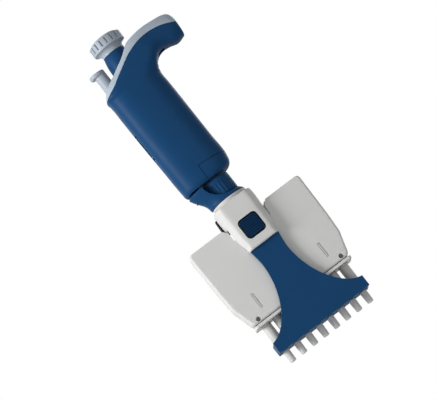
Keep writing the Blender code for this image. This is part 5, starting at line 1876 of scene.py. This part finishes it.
@dataclass
class Counter:
    """The volume counter and the works inside the grip."""

    centre_x: float = -14.25
    radius: float = 6.2
    bore: float = 1.5
    drums: tuple[tuple[str, float, float, int], ...] = (
        ("hundreds_drum", 158.8, 165.4, 2),
        ("tens_drum", 165.7, 172.3, 0),
        ("units_drum", 172.6, 179.2, 0),
    )
    figure_size: float = 6.348
    figure_depth: float = 0.06
    figure_count: int = 10
    slice_reach: float = 1.8
    slice_width: float = 0.4
    drum_edge: float = 0.35
    coil_radius: float = 5.2
    wire_radius: float = 0.55
    coil_turns: int = 4

    def flat_figure(self, figure: int) -> bpy.types.Mesh:
        """One figure as a flat mesh in millimetres, sliced upright so that it can bend.

        Args:
            figure: The figure, from 0 to 9.

        Returns:
            Its mesh.
        """
        curve = bpy.data.curves.new("figure", "FONT")
        curve.body = str(figure)
        curve.size = self.figure_size
        curve.align_x = "CENTER"
        curve.align_y = "CENTER"
        curve.extrude = self.figure_depth
        flat = bpy.data.objects.new("figure", curve)
        bpy.context.scene.collection.objects.link(flat)
        graph = bpy.context.evaluated_depsgraph_get()
        graph.update()
        mesh = bpy.data.meshes.new_from_object(flat.evaluated_get(graph))
        bpy.data.objects.remove(flat, do_unlink=True)
        fine = bmesh.new()
        fine.from_mesh(mesh)
        bmesh.ops.remove_doubles(fine, verts=fine.verts, dist=0.0005)
        for cut_x in np.arange(-self.slice_reach, self.slice_reach + 0.1, self.slice_width):
            parts = fine.verts[:] + fine.edges[:] + fine.faces[:]
            bmesh.ops.bisect_plane(fine, geom=parts, dist=0.0001, plane_co=(cut_x, 0, 0), plane_no=(1, 0, 0))
        fine.to_mesh(mesh)
        fine.free()
        return mesh

    def figures(self, name: str, low: float, high: float, shown: int) -> bpy.types.Object:
        """Print the ten figures round a drum.

        A flat figure at (u, v) goes to the angle of its place plus u / R, at the radius R
        and the height z + v. The figure that shows at rest faces the window.

        Args:
            name: The drum's body, which the figures ride on.
            low: The drum's lower face.
            high: Its upper face.
            shown: The figure in the window at rest.

        Returns:
            The figures as one piece.
        """
        merged = bmesh.new()
        for figure in range(self.figure_count):
            mesh = self.flat_figure(figure)
            points = np.empty(len(mesh.vertices) * 3, dtype=np.float32)
            mesh.vertices.foreach_get("co", points)
            across, upright, depth = points.reshape(-1, 3).astype(float).T
            angle = np.pi + (figure - shown) * np.pi / 5 + across / self.radius
            size = self.radius + self.figure_depth + depth
            height = (low + high) / 2 + upright
            place = np.stack([self.centre_x + size * np.cos(angle), size * np.sin(angle), height], axis=1)
            mesh.vertices.foreach_set("co", (place * MM).astype(np.float32).ravel())
            merged.from_mesh(mesh)
        bmesh.ops.recalc_face_normals(merged, faces=merged.faces)
        printed = bpy.data.meshes.new(f"{name} figures")
        merged.to_mesh(printed)
        merged.free()
        return place_piece(f"{name}_figures", printed, Finish.INK)

    def build(self) -> None:
        """Build and dress the counter, the frame and what sits in it."""
        for name, low, high, shown in self.drums:
            if name == "units_drum":
                piece = polish(name, Finish.DRUM_WHITE)
            else:
                corners = [(self.bore, low), (self.radius, low), (self.radius, high), (self.bore, high)]
                grid = tube(rounded_profile(corners, self.drum_edge, 3), 96, (self.centre_x, 0.0))
                piece = shape_piece(f"{name}_wheel", grid, Finish.DRUM_WHITE, False)
            settle(piece, name, "drum", name)
            settle(self.figures(name, low, high, shown), name, "drum")
        for node, body, finish, slot_name in (
            ("drive_gear", "drive_gear", Finish.GEAR_CREAM, "gear"),
            ("inner_frame", "handle", Finish.FRAME_BLACK, "chassis"),
            ("calibration_nut", "handle", Finish.BRASS, "brass"),
            ("stop_washer", "handle", Finish.STEEL, "steel"),
            ("volume_nut", "volume_nut", Finish.GEAR_CREAM, "gear"),
            ("counter_axle", "handle", Finish.STEEL, "steel"),
        ):
            settle(polish(node, finish), body, slot_name, node)
        low, high = (corner.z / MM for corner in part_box("blowout_spring"))
        coil = helix(self.coil_radius, self.wire_radius, low, high, self.coil_turns)
        spring = shape_piece("overshoot_spring", coil, Finish.STEEL, angle=60)
        settle(spring, "handle", "steel", "blowout_spring")


def main() -> None:
    """Build the studio and every sub-assembly in order."""
    logging.basicConfig(level=logging.INFO, format="%(message)s")
    Studio().build()
    Handle().build()
    Plunger().build()
    EjectorTop().build()
    Neck().build()
    LowerEjector().build()
    Head().build()
    Counter().build()


if __name__ == "__main__":
    main()
